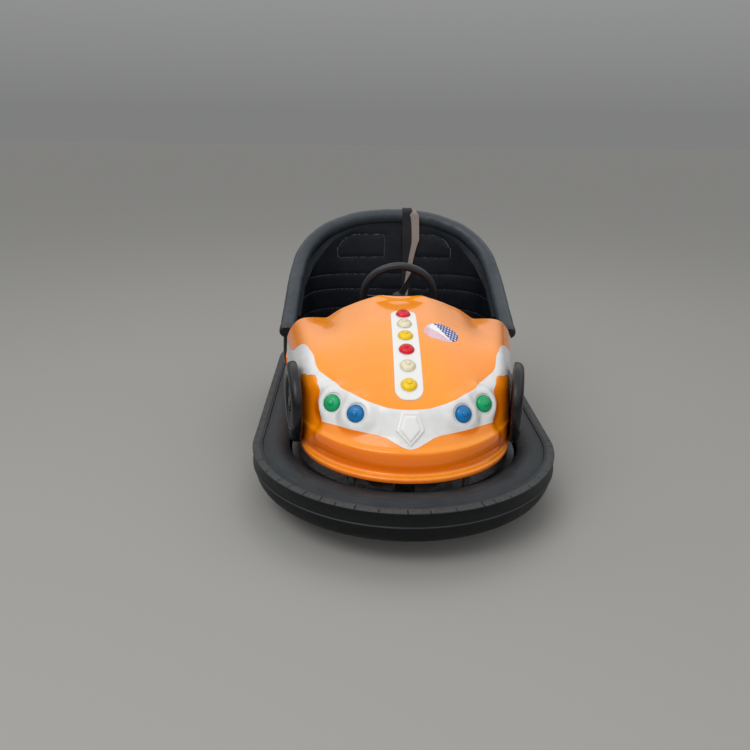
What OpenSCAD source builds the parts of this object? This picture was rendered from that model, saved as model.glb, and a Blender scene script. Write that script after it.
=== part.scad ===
// Two-seat battery bumper car: moulded shells and a round bumper tyre on a steel pan.
// The nose points along -Y, +Z is up, and the origin is on the floor under the middle.

/* [Bumper tyre] */
// Length over the bumper tyre
tyre_l = 1950; // [1900:10:2100]
// Width over the bumper tyre
tyre_w = 1120; // [1100:10:1190]
// Width of the tyre's section
tyre_thick = 136; // [130:2:144]
// Height of the tyre's section
tyre_h = 134; // [128:2:142]
// Underside of the tyre above the floor
tyre_z = 80; // [72:1:84]
// Outer radius of the tyre's two rear corners
rear_corner_r = 390; // [340:10:430]
// Height of the tyre's sharp outer edge above its middle
tyre_edge = 51; // [46:1:54]
// How far the tyre's underside is tucked in
tyre_tuck = 42; // [30:1:50]
// How far the moulding line stands out of the tyre's outer face
mould_line = 3; // [2:1:5]

/* [Steel pan] */
// Thickness of the rolled rim that holds the tyre
rim_t = 5; // [4:1:7]
// Width of the rim's two flanges
rim_flange = 35; // [30:1:40]
// Height of the rim's web
rim_h = 85; // [75:5:95]
// Thickness of the floor plate
floor_t = 6; // [4:1:8]
// Gap between the drive unit's floor opening and each chassis rail
rail_gap = 38; // [30:1:44]
// Width of a chassis rail
rail_w = 40; // [30:2:46]
// Depth of a chassis rail below the floor plate
rail_h = 30; // [20:2:34]

/* [Front cowl] */
// How far the nose's radius falls short of the tyre's inner radius
nose_inset = 42; // [38:1:52]
// Angle by which the sides flare outwards towards the back
side_flare = 10.8; // [10:0.2:11.2]
// Gap between the tyre's crown and the shells' lower lip
lip_gap = 17; // [12:1:24]
// How far the nose overhangs the tyre's inner edge
nose_over = 1; // [0:1:6]
// Back edge of the cowl
cowl_rear_y = -50; // [-60:5:-40]
// Height of the cowl at its back edge
cowl_top = 660; // [640:5:680]
// Height of the fenders at the back edge
fender_top = 572; // [560:2:584]
// Thickness of the moulded shells
wall = 8; // [6:1:10]
// Width of the turned-in flange round the bottom of the shells
flange_w = 60; // [56:1:66]
// Thickness of that flange
flange_t = 7; // [5:1:9]

/* [Lamps] */
// Radius of a lamp's lens
lamp_r = 28; // [24:1:30]
// Height of a lamp's dome
lamp_h = 17; // [12:1:22]
// Pitch of the six lamps along the hood
lamp_pitch = 80.5; // [77:0.5:82]
// Distance of the rearmost lamp from the cowl's back edge
lamp_start = 195; // [185:1:200]
// Width of the lamp strip
strip_w = 96; // [90:1:104]
// Thickness of the lamp strip
strip_t = 4; // [3:0.5:6]
// Radius of the bezels round the four nose lamps
bezel_r = 36; // [34:1:40]

/* [Trim wheels] */
// Radius of the four dummy wheels
trim_r = 146; // [136:1:150]
// How far a dummy wheel stands out of the side
trim_w = 38; // [32:1:46]
// Height of a dummy wheel's lowest point above the shells' lip
trim_low = 1; // [1:1:10]
// Distance of the front dummy wheels behind the nose's centre
trim_front = 26; // [20:2:60]
// Distance of the rear dummy wheels ahead of the tub's back
trim_rear = 495; // [475:5:505]

/* [Rear tub and seat] */
// Radius of the rolled pad along the tub's rim
pad_r = 34; // [30:1:38]
// Height of the sill at the cockpit's opening
sill_z = 400; // [385:5:410]
// Outer radius of the tub's rear corners
tub_corner_r = 268; // [250:2:290]
// Gap between the tub's back and the tyre's inner edge
tub_rear_gap = 10; // [6:1:20]
// Top of the seat cushion
seat_z = 385; // [370:5:395]
// Thickness of the seat cushion
seat_t = 85; // [70:5:95]
// Thickness of the padded backrest
back_t = 42; // [34:2:46]
// Width of the belt's webbing
belt_w = 45; // [40:1:50]

/* [Steering] */
// Outer radius of the steering wheel
steer_r = 165; // [155:1:175]
// Radius of the steering wheel's rim
steer_grip = 14; // [12:1:16]
// Place of the steering wheel's centre along the car
steer_y = 100; // [90:2:110]
// Height of the steering wheel's centre
steer_z = 628; // [620:1:640]
// Slope of the steering column
column_tilt = 22; // [20:0.5:24]
// Radius of the steering shaft
shaft_r = 11; // [9:0.5:13]
// Running gap round shafts and pins
running_gap = 0.5; // [0.3:0.1:0.8]

/* [Drive unit] */
// Distance of the drive wheel behind the tyre's front
drive_back = 475; // [465:5:485]
// Radius of the drive wheel
drive_r = 110; // [100:2:114]
// Width of the drive wheel
drive_w = 70; // [60:2:76]
// Radius of the drive motor
motor_r = 50; // [40:1:54]
// Length of the drive motor
motor_l = 88; // [70:2:92]
// Radius of the floor opening round the drive unit
drive_hole_r = 162; // [158:1:168]
// Radius of the vertical steering stem
stem_r = 20; // [16:1:22]

/* [Rear wheels] */
// Radius of the rear wheels
rear_r = 80; // [70:1:90]
// Width of the rear wheels
rear_w = 45; // [35:1:50]
// Distance of each rear wheel's middle from the tyre's side
rear_in = 230; // [225:1:238]
// Distance of the rear wheels ahead of the tyre's back
rear_ahead = 375; // [365:1:380]
// Radius of the wheel pins
pin_r = 8; // [7:0.5:10]
// Clear space beside and round each rear wheel
wheel_clear = 6; // [5:1:9]

/* [Hidden] */
$fn = 64;

// Gap left between flat or curved pieces that seat on each other
seat_gap = 0.3;

// Centres of the tyre's front half circle and of its rear corners
front_cy = tyre_w / 2 - tyre_l / 2;
rear_cx = tyre_w / 2 - rear_corner_r;
rear_cy = tyre_l / 2 - rear_corner_r;

// Heights of the rim, the floor plate and the shells' lip
rim_z = tyre_z + tyre_h / 2 - rim_h / 2 - 8.5;
ledge_z = rim_z + rim_h;
floor_z = rim_z + rim_t + floor_t;
lip_z = tyre_z + tyre_h + lip_gap;

// Places of the drive wheel, the rear wheels and the rails
drive_y = drive_back - tyre_l / 2;
rear_x = tyre_w / 2 - rear_in;
rear_y = tyre_l / 2 - rear_ahead;
rail_x = drive_hole_r + rail_gap + rail_w / 2;

// Plan of the cowl: a nose arc that runs into two flared sides
nose_r = tyre_w / 2 - tyre_thick - nose_inset;
nose_cy = nose_r - tyre_l / 2 + tyre_thick - nose_over;
nose_sweep = 90 - side_flare;

// Plan of the tub
tub_front_y = cowl_rear_y + 1;
tub_half_w = side_x(cowl_rear_y);
tub_rear_y = tyre_l / 2 - tyre_thick - tub_rear_gap;

// Steering column: a point on the axis lies this far below the steering wheel's centre
column_dir = [0, cos(column_tilt), sin(column_tilt)];
function column_at(d) = [0, steer_y, steer_z] - d * column_dir;
function column_d(y) = (steer_y - y) / cos(column_tilt);

// General helpers

function mix(a, b, t) = a + (b - a) * t;
function unit(v) = v / norm(v);
function ramp(x, a, b) = let (t = min(1, max(0, (x - a) / (b - a)))) t * t * (3 - 2 * t);
function arc(c, r, a0, a1, n) =
    [for (i = [0:n]) let (a = mix(a0, a1, i / n)) [c[0] + r * cos(a), c[1] + r * sin(a)]];

// Smooth curve through a table of [key, value], where a value may be a point
function cell(x, t, i = 0) = i >= len(t) - 2 || x < t[i + 1][0] ? i : cell(x, t, i + 1);
function tangent(t, i) =
    let (a = max(0, i - 1), b = min(len(t) - 1, i + 1)) (t[b][1] - t[a][1]) / (t[b][0] - t[a][0]);
function curve(x, t) =
    let (i = cell(x, t),
        h = t[i + 1][0] - t[i][0],
        u = min(1, max(0, (x - t[i][0]) / h)),
        v = u * u)
    t[i][1] * (2 * v * u - 3 * v + 1) + tangent(t, i) * h * (v * u - 2 * v + u)
    + t[i + 1][1] * (3 * v - 2 * v * u) + tangent(t, i + 1) * h * (v * u - v);

// Skins a row of closed loops that have the same number of points
module skin(loops) {
    n = len(loops[0]);
    last = (len(loops) - 1) * n;
    polyhedron(
        points = [for (loop = loops) each loop],
        faces = concat(
            [[for (j = [0:n - 1]) j]],
            [for (i = [0:len(loops) - 2], j = [0:n - 1])
                let (k = (j + 1) % n) [i * n + j, (i + 1) * n + j, (i + 1) * n + k]],
            [for (i = [0:len(loops) - 2], j = [0:n - 1])
                let (k = (j + 1) % n) [i * n + j, (i + 1) * n + k, i * n + k]],
            [[for (j = [n - 1:-1:0]) last + j]]),
        convexity = 8);
}

// Turns +Z to the direction v
module aim(v) {
    rotate([0, 0, atan2(v[1], v[0])])
        rotate([0, atan2(norm([v[0], v[1]]), v[2]), 0])
            children();
}

function mirrored(v) = [-v[0], v[1], v[2]];

// Bumper tyre and steel pan

// Sweeps a section round the car: x is measured outwards from the tyre's outer face
module round_car() {
    translate([0, front_cy, 0]) rotate([0, 0, 180])
        rotate_extrude(angle = 180, $fn = 128) translate([tyre_w / 2, 0]) children();
    translate([-rear_cx, rear_cy + rear_corner_r, 0]) rotate([90, 0, 90])
        linear_extrude(2 * rear_cx) children();
    for (side = [0, 1]) mirror([side, 0, 0]) {
        translate([tyre_w / 2, rear_cy, 0]) rotate([90, 0, 0])
            linear_extrude(rear_cy - front_cy) children();
        translate([rear_cx, rear_cy, 0])
            rotate_extrude(angle = 90, $fn = 96) translate([rear_corner_r, 0]) children();
    }
}

// Plan of the car at a distance inside the tyre's outer face
module plan(inset) {
    translate([0, front_cy]) circle(r = tyre_w / 2 - inset, $fn = 128);
    translate([inset - tyre_w / 2, front_cy])
        square([tyre_w - 2 * inset, rear_cy - front_cy]);
    translate([-rear_cx, rear_cy]) square([2 * rear_cx, rear_corner_r - inset]);
    for (x = [-rear_cx, rear_cx]) translate([x, rear_cy])
        circle(r = rear_corner_r - inset, $fn = 96);
}

// Tyre's section: bevelled band inside the sharp outer edge, round crown, tucked underside
band_w = 30;
crown_r = 84;
crown_turn = 35;
crown_x = 86;
line_h = 4;
face_fall = 3;
function tyre_section() =
    let (top = tyre_h / 2, low = -tyre_h / 2, face_x = -face_fall - mould_line)
    concat(
        [[0, tyre_edge], [-2, tyre_edge + 2], [-band_w, tyre_edge + 6]],
        arc([-crown_x, top - crown_r], crown_r, 90 - crown_turn, 90 + crown_turn, 6),
        [[-tyre_thick, tyre_edge + 4], [-tyre_thick, low + 24], [8 - tyre_thick, low + 6],
            [24 - tyre_thick, low]],
        [for (i = [5:-1:0]) let (a = 90 * i / 5)
            [mix(-tyre_tuck, face_x, cos(a)), mix(-line_h, low, sin(a))]],
        [[0, -line_h], [0, line_h / 2], [-face_fall, line_h / 2]]);

module bumper_tyre() {
    color([0.16, 0.17, 0.18]) round_car() translate([0, tyre_z + tyre_h / 2])
        polygon(tyre_section());
}

module bumper_rim() {
    inner = -tyre_thick - seat_gap;
    color([0.55, 0.56, 0.56]) round_car() {
        translate([inner - rim_t, rim_z]) square([rim_t, rim_h]);
        for (z = [rim_z, ledge_z - rim_t])
            translate([inner - rim_flange, z]) square([rim_flange - rim_t, rim_t]);
    }
}

module rear_wheel_slot(extra, h) {
    for (x = [-rear_x, rear_x])
        translate([x - rear_w / 2 - extra, rear_y - rear_r - extra, -h])
            cube([rear_w + 2 * extra, 2 * (rear_r + extra), 2 * h]);
}

module floor_pan() {
    color([0.25, 0.26, 0.27]) difference() {
        translate([0, 0, floor_z - floor_t])
            linear_extrude(floor_t) plan(tyre_thick + seat_gap + rim_t + seat_gap);
        translate([0, drive_y, 0]) cylinder(r = drive_hole_r, h = 2 * floor_z, $fn = 96);
        rear_wheel_slot(wheel_clear, 2 * floor_z);
    }
}

// Rails and their cross members, which end just inside the rim's lower flange
rail_t = 4;
cross_w = 40;
cross_back = 220;
flange_in_r = tyre_w / 2 - tyre_thick - seat_gap - rim_flange;
rail_front = front_cy - sqrt(pow(flange_in_r, 2) - pow(rail_x + rail_w / 2, 2)) + 2;
rail_back = tyre_l / 2 - tyre_thick - 2 * rim_flange - cross_w / 2;

module chassis_rails() {
    top = floor_z - floor_t;
    color([0.2, 0.21, 0.22]) translate([0, 0, top - rail_h]) {
        for (side = [0, 1]) mirror([side, 0, 0]) translate([rail_x - rail_w / 2, 0, 0])
            difference() {
                translate([0, rail_front, 0]) cube([rail_w, rail_back - rail_front, rail_h]);
                translate([rail_t, rail_front - 1, rail_t])
                    cube([rail_w - 2 * rail_t, rail_back - rail_front + 2, rail_h]);
            }
        for (y = [rail_front, drive_y + drive_hole_r + cross_w / 2, rear_y - cross_back,
                rail_back - cross_w])
            translate([-rail_x + rail_w / 2 - 0.01, y, 0])
                cube([2 * rail_x - rail_w + 0.02, cross_w, rail_h]);
    }
}

// Posts between the rim's ledge and the shells' flange: [x, y] of each pair
mount_r = 12;
mount_turn = 28;
ledge_mid = tyre_thick + seat_gap + rim_flange / 2 + 2;
mount_places = [
    [(tyre_w / 2 - ledge_mid) * sin(mount_turn), front_cy - (tyre_w / 2 - ledge_mid) * cos(mount_turn)],
    [tyre_w / 2 - ledge_mid, cowl_rear_y - 40],
    [tyre_w / 2 - ledge_mid, mix(cowl_rear_y, rear_cy, 0.5)],
    [rear_cx, rear_cy + rear_corner_r - ledge_mid]];

module body_mounts() {
    color([0.12, 0.12, 0.13]) for (side = [0, 1], place = mount_places) mirror([side, 0, 0])
        translate([place[0], place[1], ledge_z]) cylinder(r = mount_r, h = lip_z - ledge_z);
}

// Front cowl

// Half width of the flared side at a place along the car
function side_x(y) =
    nose_r * cos(side_flare) + (y - nose_cy + nose_r * sin(side_flare)) * tan(side_flare);

// Half plan of the cowl: p runs 0 to 1 along the nose arc and on to 2 at the back edge
function cowl_plan(p, inset) = p <= 1
    ? let (r = nose_r - inset, a = p * nose_sweep) [r * sin(a), nose_cy - r * cos(a)]
    : let (y = mix(nose_cy - (nose_r - inset) * sin(side_flare), cowl_rear_y, p - 1))
        [side_x(y) - inset / cos(side_flare), y];

// The tables below are written for a cowl of this length and half width, and stretch with it
table_l = 790;
table_w = 466;
cowl_k = table_l / (cowl_rear_y - nose_cy + nose_r);
function ahead(y) = (cowl_rear_y - y) * cowl_k;
function across(x) = x * table_w / tub_half_w;

// [distance ahead of the back edge, drop of the hood's crest]
crest_drop = [[0, 0], [60, 7], [170, 22], [250, 36], [330, 56], [410, 80], [490, 111],
    [550, 139], [590, 159], [630, 182], [685, 213], [800, 275]];
// [distance from the centre line, drop of the hood below its crest]
dome_drop = [[0, 0], [83, 0], [123, 5], [163, 18], [203, 34], [244, 53], [296, 88], [350, 126]];
// [distance ahead of the back edge, drop of the fender's crest]
fender_drop = [[0, 0], [100, 2], [200, 8], [295, 17], [380, 36], [450, 66], [510, 104],
    [550, 140], [620, 215]];
// [distance in from the side, drop of the fender's outer roll]
roll_drop = [[0, 108], [10, 74], [23, 45], [52, 12], [88, 0], [170, 0]];
// Where the hood gives way to the fender, from the centre line
fender_from = 284;
fender_full = 318;

function crest_z(y) = cowl_top - curve(ahead(y), crest_drop);
function fender_z(x, y) = fender_top - curve(ahead(y), fender_drop)
    - curve(across(side_x(y) - x), roll_drop);
function hood_z(x, y) = mix(crest_z(y) - curve(across(x), dome_drop), fender_z(x, y),
    ramp(across(x), fender_from, fender_full));

// [height above the lip, inset at the nose, inset at the sides] up the outside and inside
face_rows = [[0, 0, 0], [14, -1, 0], [26, 22, 0], [58, 17, 0], [93, 27, 0], [106, 38, 1],
    [136, 60, 2]];
inner_rows = [[7, 32, 8], [58, 32, 8], [93, 36, 8], [106, 48, 9], [136, 69, 10]];
// [p, share of the nose's section]
nose_share = [[0, 1], [0.62, 1], [0.81, 0.62], [1, 0.1], [1.12, 0], [2, 0]];
// [p, inset of the edge where face turns into hood]
edge_inset = [[0, 105], [0.4, 106], [0.56, 110], [0.75, 106], [0.85, 80], [0.935, 45],
    [1, 22], [1.12, 9], [2, 7]];
// [p, share of the half width where the line from that edge ends at the back]
rear_share = [[0, 0], [0.56, 0.36], [0.75, 0.51], [0.935, 0.665], [1, 0.72], [1.35, 0.82],
    [1.75, 0.92], [2, 0.965]];

cowl_steps = 26;
hood_steps = 12;

function face_point(p, row, extra = 0) =
    let (q = cowl_plan(p, mix(row[2], row[1], curve(p, nose_share)) + extra))
    [q[0], q[1], lip_z + row[0]];
function edge_plan(p, extra = 0) = cowl_plan(p, curve(p, edge_inset) + extra);
function rear_plan(p) = [curve(p, rear_share) * tub_half_w, cowl_rear_y];
function hood_point(p, k, extra, down) =
    let (q = mix(edge_plan(p, extra), rear_plan(p), k)) [q[0], q[1], hood_z(q[0], q[1]) - down];
function inner_down(p) = wall * mix(1, 1.8, ramp(p, 0.8, 1.1));

function cowl_loop(p) =
    let (f = cowl_plan(p, flange_w))
    concat(
        [for (row = face_rows) face_point(p, row)],
        [for (i = [0:hood_steps]) hood_point(p, i / hood_steps, 0, 0)],
        [for (i = [hood_steps:-1:1]) hood_point(p, i / hood_steps, wall * 0.7, inner_down(p))],
        [let (e = edge_plan(p, wall)) [e[0], e[1], hood_point(p, 0, 0, inner_down(p))[2]]],
        [for (i = [len(inner_rows) - 1:-1:0]) face_point(p, inner_rows[i])],
        [[f[0], f[1], lip_z + flange_t], [f[0], f[1], lip_z]]);

module front_cowl() {
    half = [for (i = [0:cowl_steps]) 2 * i / cowl_steps];
    color([0.96, 0.42, 0.05]) skin(concat(
        [for (i = [cowl_steps:-1:1]) cowl_loop(half[i])],
        [for (p = half) [for (v = cowl_loop(p)) mirrored(v)]]));
}

// Lamps and nose trim

function lamp_y(i) = cowl_rear_y - (lamp_start + i * lamp_pitch) / cowl_k;
strip_rear = lamp_y(0) + 38;
strip_front = lamp_y(5) - 54;
strip_corner = 30;
strip_lift = 0.7;

module lamp_strip() {
    steps = 14;
    ys = [for (i = [0:steps]) mix(strip_front, strip_rear, i / steps)];
    color([0.93, 0.93, 0.9]) intersection() {
        translate([-strip_w / 2, 0, 0]) rotate([90, 0, 90]) linear_extrude(strip_w)
            polygon(concat(
                [for (y = ys) [y, crest_z(y) + strip_lift]],
                [for (i = [steps:-1:0]) [ys[i], crest_z(ys[i]) + strip_lift + strip_t]]));
        union() {
            for (x = [-1, 1], y = [strip_front + strip_corner, strip_rear - strip_corner])
                translate([x * (strip_w / 2 - strip_corner), y, 0])
                    cylinder(r = strip_corner, h = cowl_top + 50);
            translate([strip_corner - strip_w / 2, strip_front, 0])
                cube([strip_w - 2 * strip_corner, strip_rear - strip_front, cowl_top + 50]);
            translate([-strip_w / 2, strip_front + strip_corner, 0])
                cube([strip_w, strip_rear - strip_front - 2 * strip_corner, cowl_top + 50]);
        }
    }
}

// One lamp: flange, domed lens and centre nub
module lamp() {
    rotate_extrude() polygon(concat(
        [[0, 0], [lamp_r, 0], [lamp_r, 3]],
        [for (i = [1:6]) let (a = 78 * i / 6) [(lamp_r - 2) * cos(a), 3 + (lamp_h - 5) * sin(a)]],
        [[4, lamp_h], [0, lamp_h]]));
}

function crest_slope(y) = atan((crest_z(y + 5) - crest_z(y - 5)) / 10);

module hood_lamps(picks) {
    for (i = picks) {
        y = lamp_y(i);
        z = crest_z(y) + strip_lift + strip_t;
        translate([0, y, z]) rotate([crest_slope(y), 0, 0])
            translate([0, 0, seat_gap + 0.3]) lamp();
    }
}

module hood_lamps_red() { color([0.85, 0.05, 0.1]) hood_lamps([0, 3]); }
module hood_lamps_clear() { color([0.93, 0.9, 0.78]) hood_lamps([1, 4]); }
module hood_lamps_yellow() { color([0.98, 0.8, 0.05]) hood_lamps([2, 5]); }

// A place on the sloping face: p round the nose and a share of the way up to the hood's edge
function band_point(p, k) =
    let (low = face_point(p, face_rows[6]), e = edge_plan(p), z = hood_z(e[0], e[1]))
    mix(low, [e[0], e[1], z], k);
function band_normal(p, k) =
    unit(cross(band_point(p + 0.02, k) - band_point(p - 0.02, k),
        band_point(p, k + 0.1) - band_point(p, k - 0.1)));

// Nose lamps: [place round the nose, share of the way up], left of each pair
green_at = [0.722, 0.53];
blue_at = [0.455, 0.53];
bezel_lift = 0.95;
bezel_crown = 2.6;
bezel_t = 5;
bezel_sides = 28;
lamp_sink = 3;
straight_ahead = [0, -0.92, 0.39];

// The lamps look further ahead than the face does
function lamp_aim(at) = unit(band_normal(at[0], at[1]) + straight_ahead);
function lamp_seat(at) =
    let (n = band_normal(at[0], at[1]), m = lamp_aim(at), slope = sqrt(1 - pow(n * m, 2)) / (n * m))
    band_point(at[0], at[1]) + bezel_lift * n + (bezel_t + bezel_r * slope) * m;

// Loop round a nose lamp, on the face when lift is 0 or on the lamp's own seat when it is 1
function bezel_loop(at, r, lift) =
    let (c = band_point(at[0], at[1]), n = band_normal(at[0], at[1]), m = lamp_aim(at),
        top = lamp_seat(at), u = unit(cross([0, 0, 1], m)), v = cross(m, u),
        dp = band_point(at[0] + 0.01, at[1]) - band_point(at[0] - 0.01, at[1]),
        dk = band_point(at[0], at[1] + 0.01) - band_point(at[0], at[1] - 0.01))
    [for (i = [0:bezel_sides - 1])
        let (a = 360 * i / bezel_sides, d = r * (cos(a) * u + sin(a) * v),
            flat = d - (d * n) / (m * n) * m)
        lift == 1 ? top + d
        : band_point(at[0] + 0.02 * (flat * dp) / (dp * dp), at[1] + 0.02 * (flat * dk) / (dk * dk))
            + bezel_lift * n];

module on_seat(at, depth) {
    m = lamp_aim(at);
    translate(lamp_seat(at) - depth * m) aim(m) children();
}

module nose_pair() {
    for (side = [0, 1]) mirror([side, 0, 0]) children();
}

// A wedge with a flat top and an underside that fans out to the face's curve
module bezel_wedge(at) {
    n = bezel_sides;
    polyhedron(
        points = concat(bezel_loop(at, bezel_r - 3, 1), bezel_loop(at, bezel_r, 0),
            [band_point(at[0], at[1]) + (bezel_lift + bezel_crown) * band_normal(at[0], at[1])]),
        faces = concat(
            [[for (j = [n - 1:-1:0]) j]],
            [for (j = [0:n - 1]) let (k = (j + 1) % n) [j, n + k, n + j]],
            [for (j = [0:n - 1]) let (k = (j + 1) % n) [j, k, n + k]],
            [for (j = [0:n - 1]) let (k = (j + 1) % n) [2 * n, n + j, n + k]]),
        convexity = 4);
}

module nose_bezels() {
    color([0.93, 0.93, 0.9]) for (at = [green_at, blue_at]) nose_pair() difference() {
        bezel_wedge(at);
        on_seat(at, lamp_sink) cylinder(r = lamp_r + 1.5, h = bezel_t);
    }
}

module nose_lamps_green() {
    color([0.02, 0.6, 0.25]) nose_pair() on_seat(green_at, lamp_sink - seat_gap) lamp();
}

module nose_lamps_blue() {
    color([0.02, 0.3, 0.75]) nose_pair() on_seat(blue_at, lamp_sink - seat_gap) lamp();
}

// A five-sided gem on the middle of the band, bent to the face's cone
gem_w = 92;
gem_h = 112;

module gem_outline(inset) {
    w = gem_w / 2 - inset;
    h = gem_h / 2 - inset;
    polygon([[0, -h], [w, -h * 0.1], [w * 0.62, h], [-w * 0.62, h], [-w, -h * 0.1]]);
}

module gem_layer(from, to, inset) {
    low = face_rows[5];
    low_r = nose_r - low[1];
    top_r = nose_r - edge_inset[0][1];
    top_z = crest_z(nose_cy - top_r);
    low_z = lip_z + low[0];
    n = unit([top_z - low_z, low_r - top_r]);
    mid = [0, nose_cy - (low_r + top_r) / 2, (low_z + top_z) / 2];
    intersection() {
        translate([0, nose_cy, 0]) rotate([0, 0, -90 - 25])
            rotate_extrude(angle = 50, $fn = 128) polygon([
                [low_r, low_z] + from * n, [top_r, top_z] + from * n,
                [top_r, top_z] + to * n, [low_r, low_z] + to * n]);
        translate(mid) rotate([atan2(n[0], n[1]), 0, 0])
            translate([0, 0, -60]) linear_extrude(120) gem_outline(inset);
    }
}

module nose_gem() {
    color([0.93, 0.93, 0.9]) {
        gem_layer(seat_gap, 4, 0);
        gem_layer(3.9, 9, 9);
    }
}

// Dummy wheel: round-shouldered tyre, dished face with seven spokes and a centre cap
trim_spokes = 7;
trim_spoke_w = 10;
trim_round = 24;
trim_dish = 7;
trim_face_r = trim_r * 0.64;
trim_cap_r = 22;

// One window between two spokes, bounded by the face's edge and the cap
module spoke_window() {
    half = 180 / trim_spokes;
    tip = trim_spoke_w / 2 / sin(half);
    far = 1.4 * trim_face_r;
    intersection() {
        polygon([[tip, 0], [far, (tip - far) * tan(half)], [far, (far - tip) * tan(half)]]);
        difference() {
            circle(r = trim_face_r - 5);
            circle(r = trim_cap_r + 1);
        }
    }
}

module trim_wheel() {
    difference() {
        rotate_extrude() polygon(concat(
            [[0, 0], [trim_r - 6, 0], [trim_r, 8]],
            arc([trim_r - trim_round, trim_w - trim_round], trim_round, 0, 100, 6),
            [[trim_face_r + 4, trim_w - 4], [trim_face_r, trim_w - trim_dish - 4],
                [0, trim_w - trim_dish - 4]]));
        for (i = [0:trim_spokes - 1]) rotate([0, 0, 360 * i / trim_spokes])
            translate([0, 0, trim_w - trim_dish - 10]) linear_extrude(trim_dish) spoke_window();
    }
    translate([0, 0, trim_w - trim_dish - 4.1]) cylinder(r1 = trim_cap_r, r2 = trim_cap_r - 4, h = 7);
}

trim_z = lip_z + trim_low + trim_r;
trim_front_y = nose_cy - trim_front;
trim_rear_y = tub_rear_y - trim_rear;
trim_gap = 0.7;

module trim_wheel_front() {
    translate([side_x(trim_front_y), trim_front_y, trim_z]) rotate([0, 0, -side_flare])
        translate([trim_gap, 0, 0]) rotate([0, 90, 0]) trim_wheel();
}

module trim_wheel_rear() {
    low = tub_at_y(trim_rear_y, trim_z - trim_r / 2);
    high = tub_at_y(trim_rear_y, trim_z + trim_r / 2);
    lean = atan2(low[0] - high[0], high[2] - low[2]);
    translate([(low[0] + high[0]) / 2 + trim_gap + 2, trim_rear_y, trim_z])
        rotate([0, 90 - lean, 0]) trim_wheel();
}

module trim_wheel_front_left() { color([0.08, 0.08, 0.09]) trim_wheel_front(); }
module trim_wheel_front_right() { color([0.08, 0.08, 0.09]) mirror([1, 0, 0]) trim_wheel_front(); }
module trim_wheel_rear_left() { color([0.08, 0.08, 0.09]) trim_wheel_rear(); }
module trim_wheel_rear_right() { color([0.08, 0.08, 0.09]) mirror([1, 0, 0]) trim_wheel_rear(); }

// Rear tub

// Centre of the rolled pad from its front end to the middle of the back:
// [share, [share of the tub's half width, share of the way to the tub's back, height]]
pad_path = [[0, [1.005, 0.0727, 475]], [0.167, [0.982, 0.242, 562]], [0.351, [0.957, 0.436, 655]],
    [0.504, [0.89, 0.582, 745]], [0.64, [0.725, 0.679, 818]], [0.744, [0.536, 0.737, 856]],
    [0.85, [0.3215, 0.77, 880]], [1, [0, 0.783, 890]], [1.15, [-0.3215, 0.77, 880]]];

function pad_point(w) =
    let (v = curve(w, pad_path)) [v[0] * tub_half_w, v[1] * tub_rear_y, v[2]];
function pad_dir(w) = unit(pad_point(w + 0.005) - pad_point(max(0, w - 0.005)));
function pad_down(w) = let (d = pad_dir(w)) unit([0, 0, -1] + d[2] * d);
function rim_point(w) = pad_point(w) + (pad_r + seat_gap + 1) * pad_down(w);

// Half plan of a U from the front end of its side to the middle of its back, and its length
function u_length(front, half_w, back, corner) =
    back - corner - front + corner * PI / 2 + half_w - corner;
function u_plan(p, front, half_w, back, corner, inset) =
    let (side = back - corner - front,
        bend = corner * PI / 2,
        s = p * u_length(front, half_w, back, corner))
    s < side ? [half_w - inset, front + s]
    : s < side + bend ? let (a = (s - side) / corner * 180 / PI)
        [half_w - corner + (corner - inset) * cos(a), back - corner + (corner - inset) * sin(a)]
    : [max(0, half_w - corner - (s - side - bend)), back - inset];

function tub_plan(p, inset) =
    u_plan(p, tub_front_y, tub_half_w, tub_rear_y, tub_corner_r, inset);
function tub_in(p) = unit(tub_plan(p, 1) - tub_plan(p, 0));

// Share of the tub's plan at which the pad starts
pad_from = 0.105;
function tub_rim(p) = p >= pad_from
    ? rim_point((p - pad_from) / (1 - pad_from))
    : mix([tub_half_w, tub_front_y, sill_z], rim_point(0), p / pad_from);
function tub_bulge(p) = 34 * ramp(p, 0.5, 0.75);
function tub_point(p, h, inset) =
    let (low = tub_plan(p, inset), top = tub_rim(p), q = tub_in(p))
    mix([low[0], low[1], lip_z], top + inset * [q[0], q[1], 0], h)
    - tub_bulge(p) * sin(180 * pow(h, 0.8)) * [q[0], q[1], 0];

// Side of the tub at a place along the car and a height, for pieces fixed to it
function tub_at_y(y, z) =
    let (top = tub_rim((y - tub_front_y)
            / u_length(tub_front_y, tub_half_w, tub_rear_y, tub_corner_r)))
    [mix(tub_half_w, top[0], (z - lip_z) / (top[2] - lip_z)), y, z];

tub_steps = 30;
tub_rows = 9;

function tub_loop(p) =
    let (f = tub_plan(p, flange_w), g = tub_plan(p, wall))
    concat(
        [for (i = [0:tub_rows]) tub_point(p, i / tub_rows, 0)],
        [for (i = [tub_rows:-1:1]) tub_point(p, i / tub_rows, wall)],
        [[g[0], g[1], lip_z + flange_t], [f[0], f[1], lip_z + flange_t], [f[0], f[1], lip_z]]);

module rear_tub() {
    color([0.96, 0.42, 0.05]) skin(concat(
        [for (i = [0:tub_steps]) [for (v = tub_loop(i / tub_steps)) mirrored(v)]],
        [for (i = [tub_steps - 1:-1:0]) tub_loop(i / tub_steps)]));
}

pad_steps = 22;
pad_sides = 14;

function pad_ring(w) =
    let (c = pad_point(w), n = pad_down(w), b = cross(pad_dir(w), n))
    [for (i = [0:pad_sides - 1]) let (a = 360 * i / pad_sides)
        c + pad_r * (cos(a) * n + sin(a) * b)];

module rim_pad() {
    color([0.22, 0.24, 0.26]) skin(concat(
        [for (i = [0:pad_steps]) pad_ring(i / pad_steps)],
        [for (i = [pad_steps - 1:-1:0]) [for (v = pad_ring(i / pad_steps)) mirrored(v)]]));
}

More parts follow.
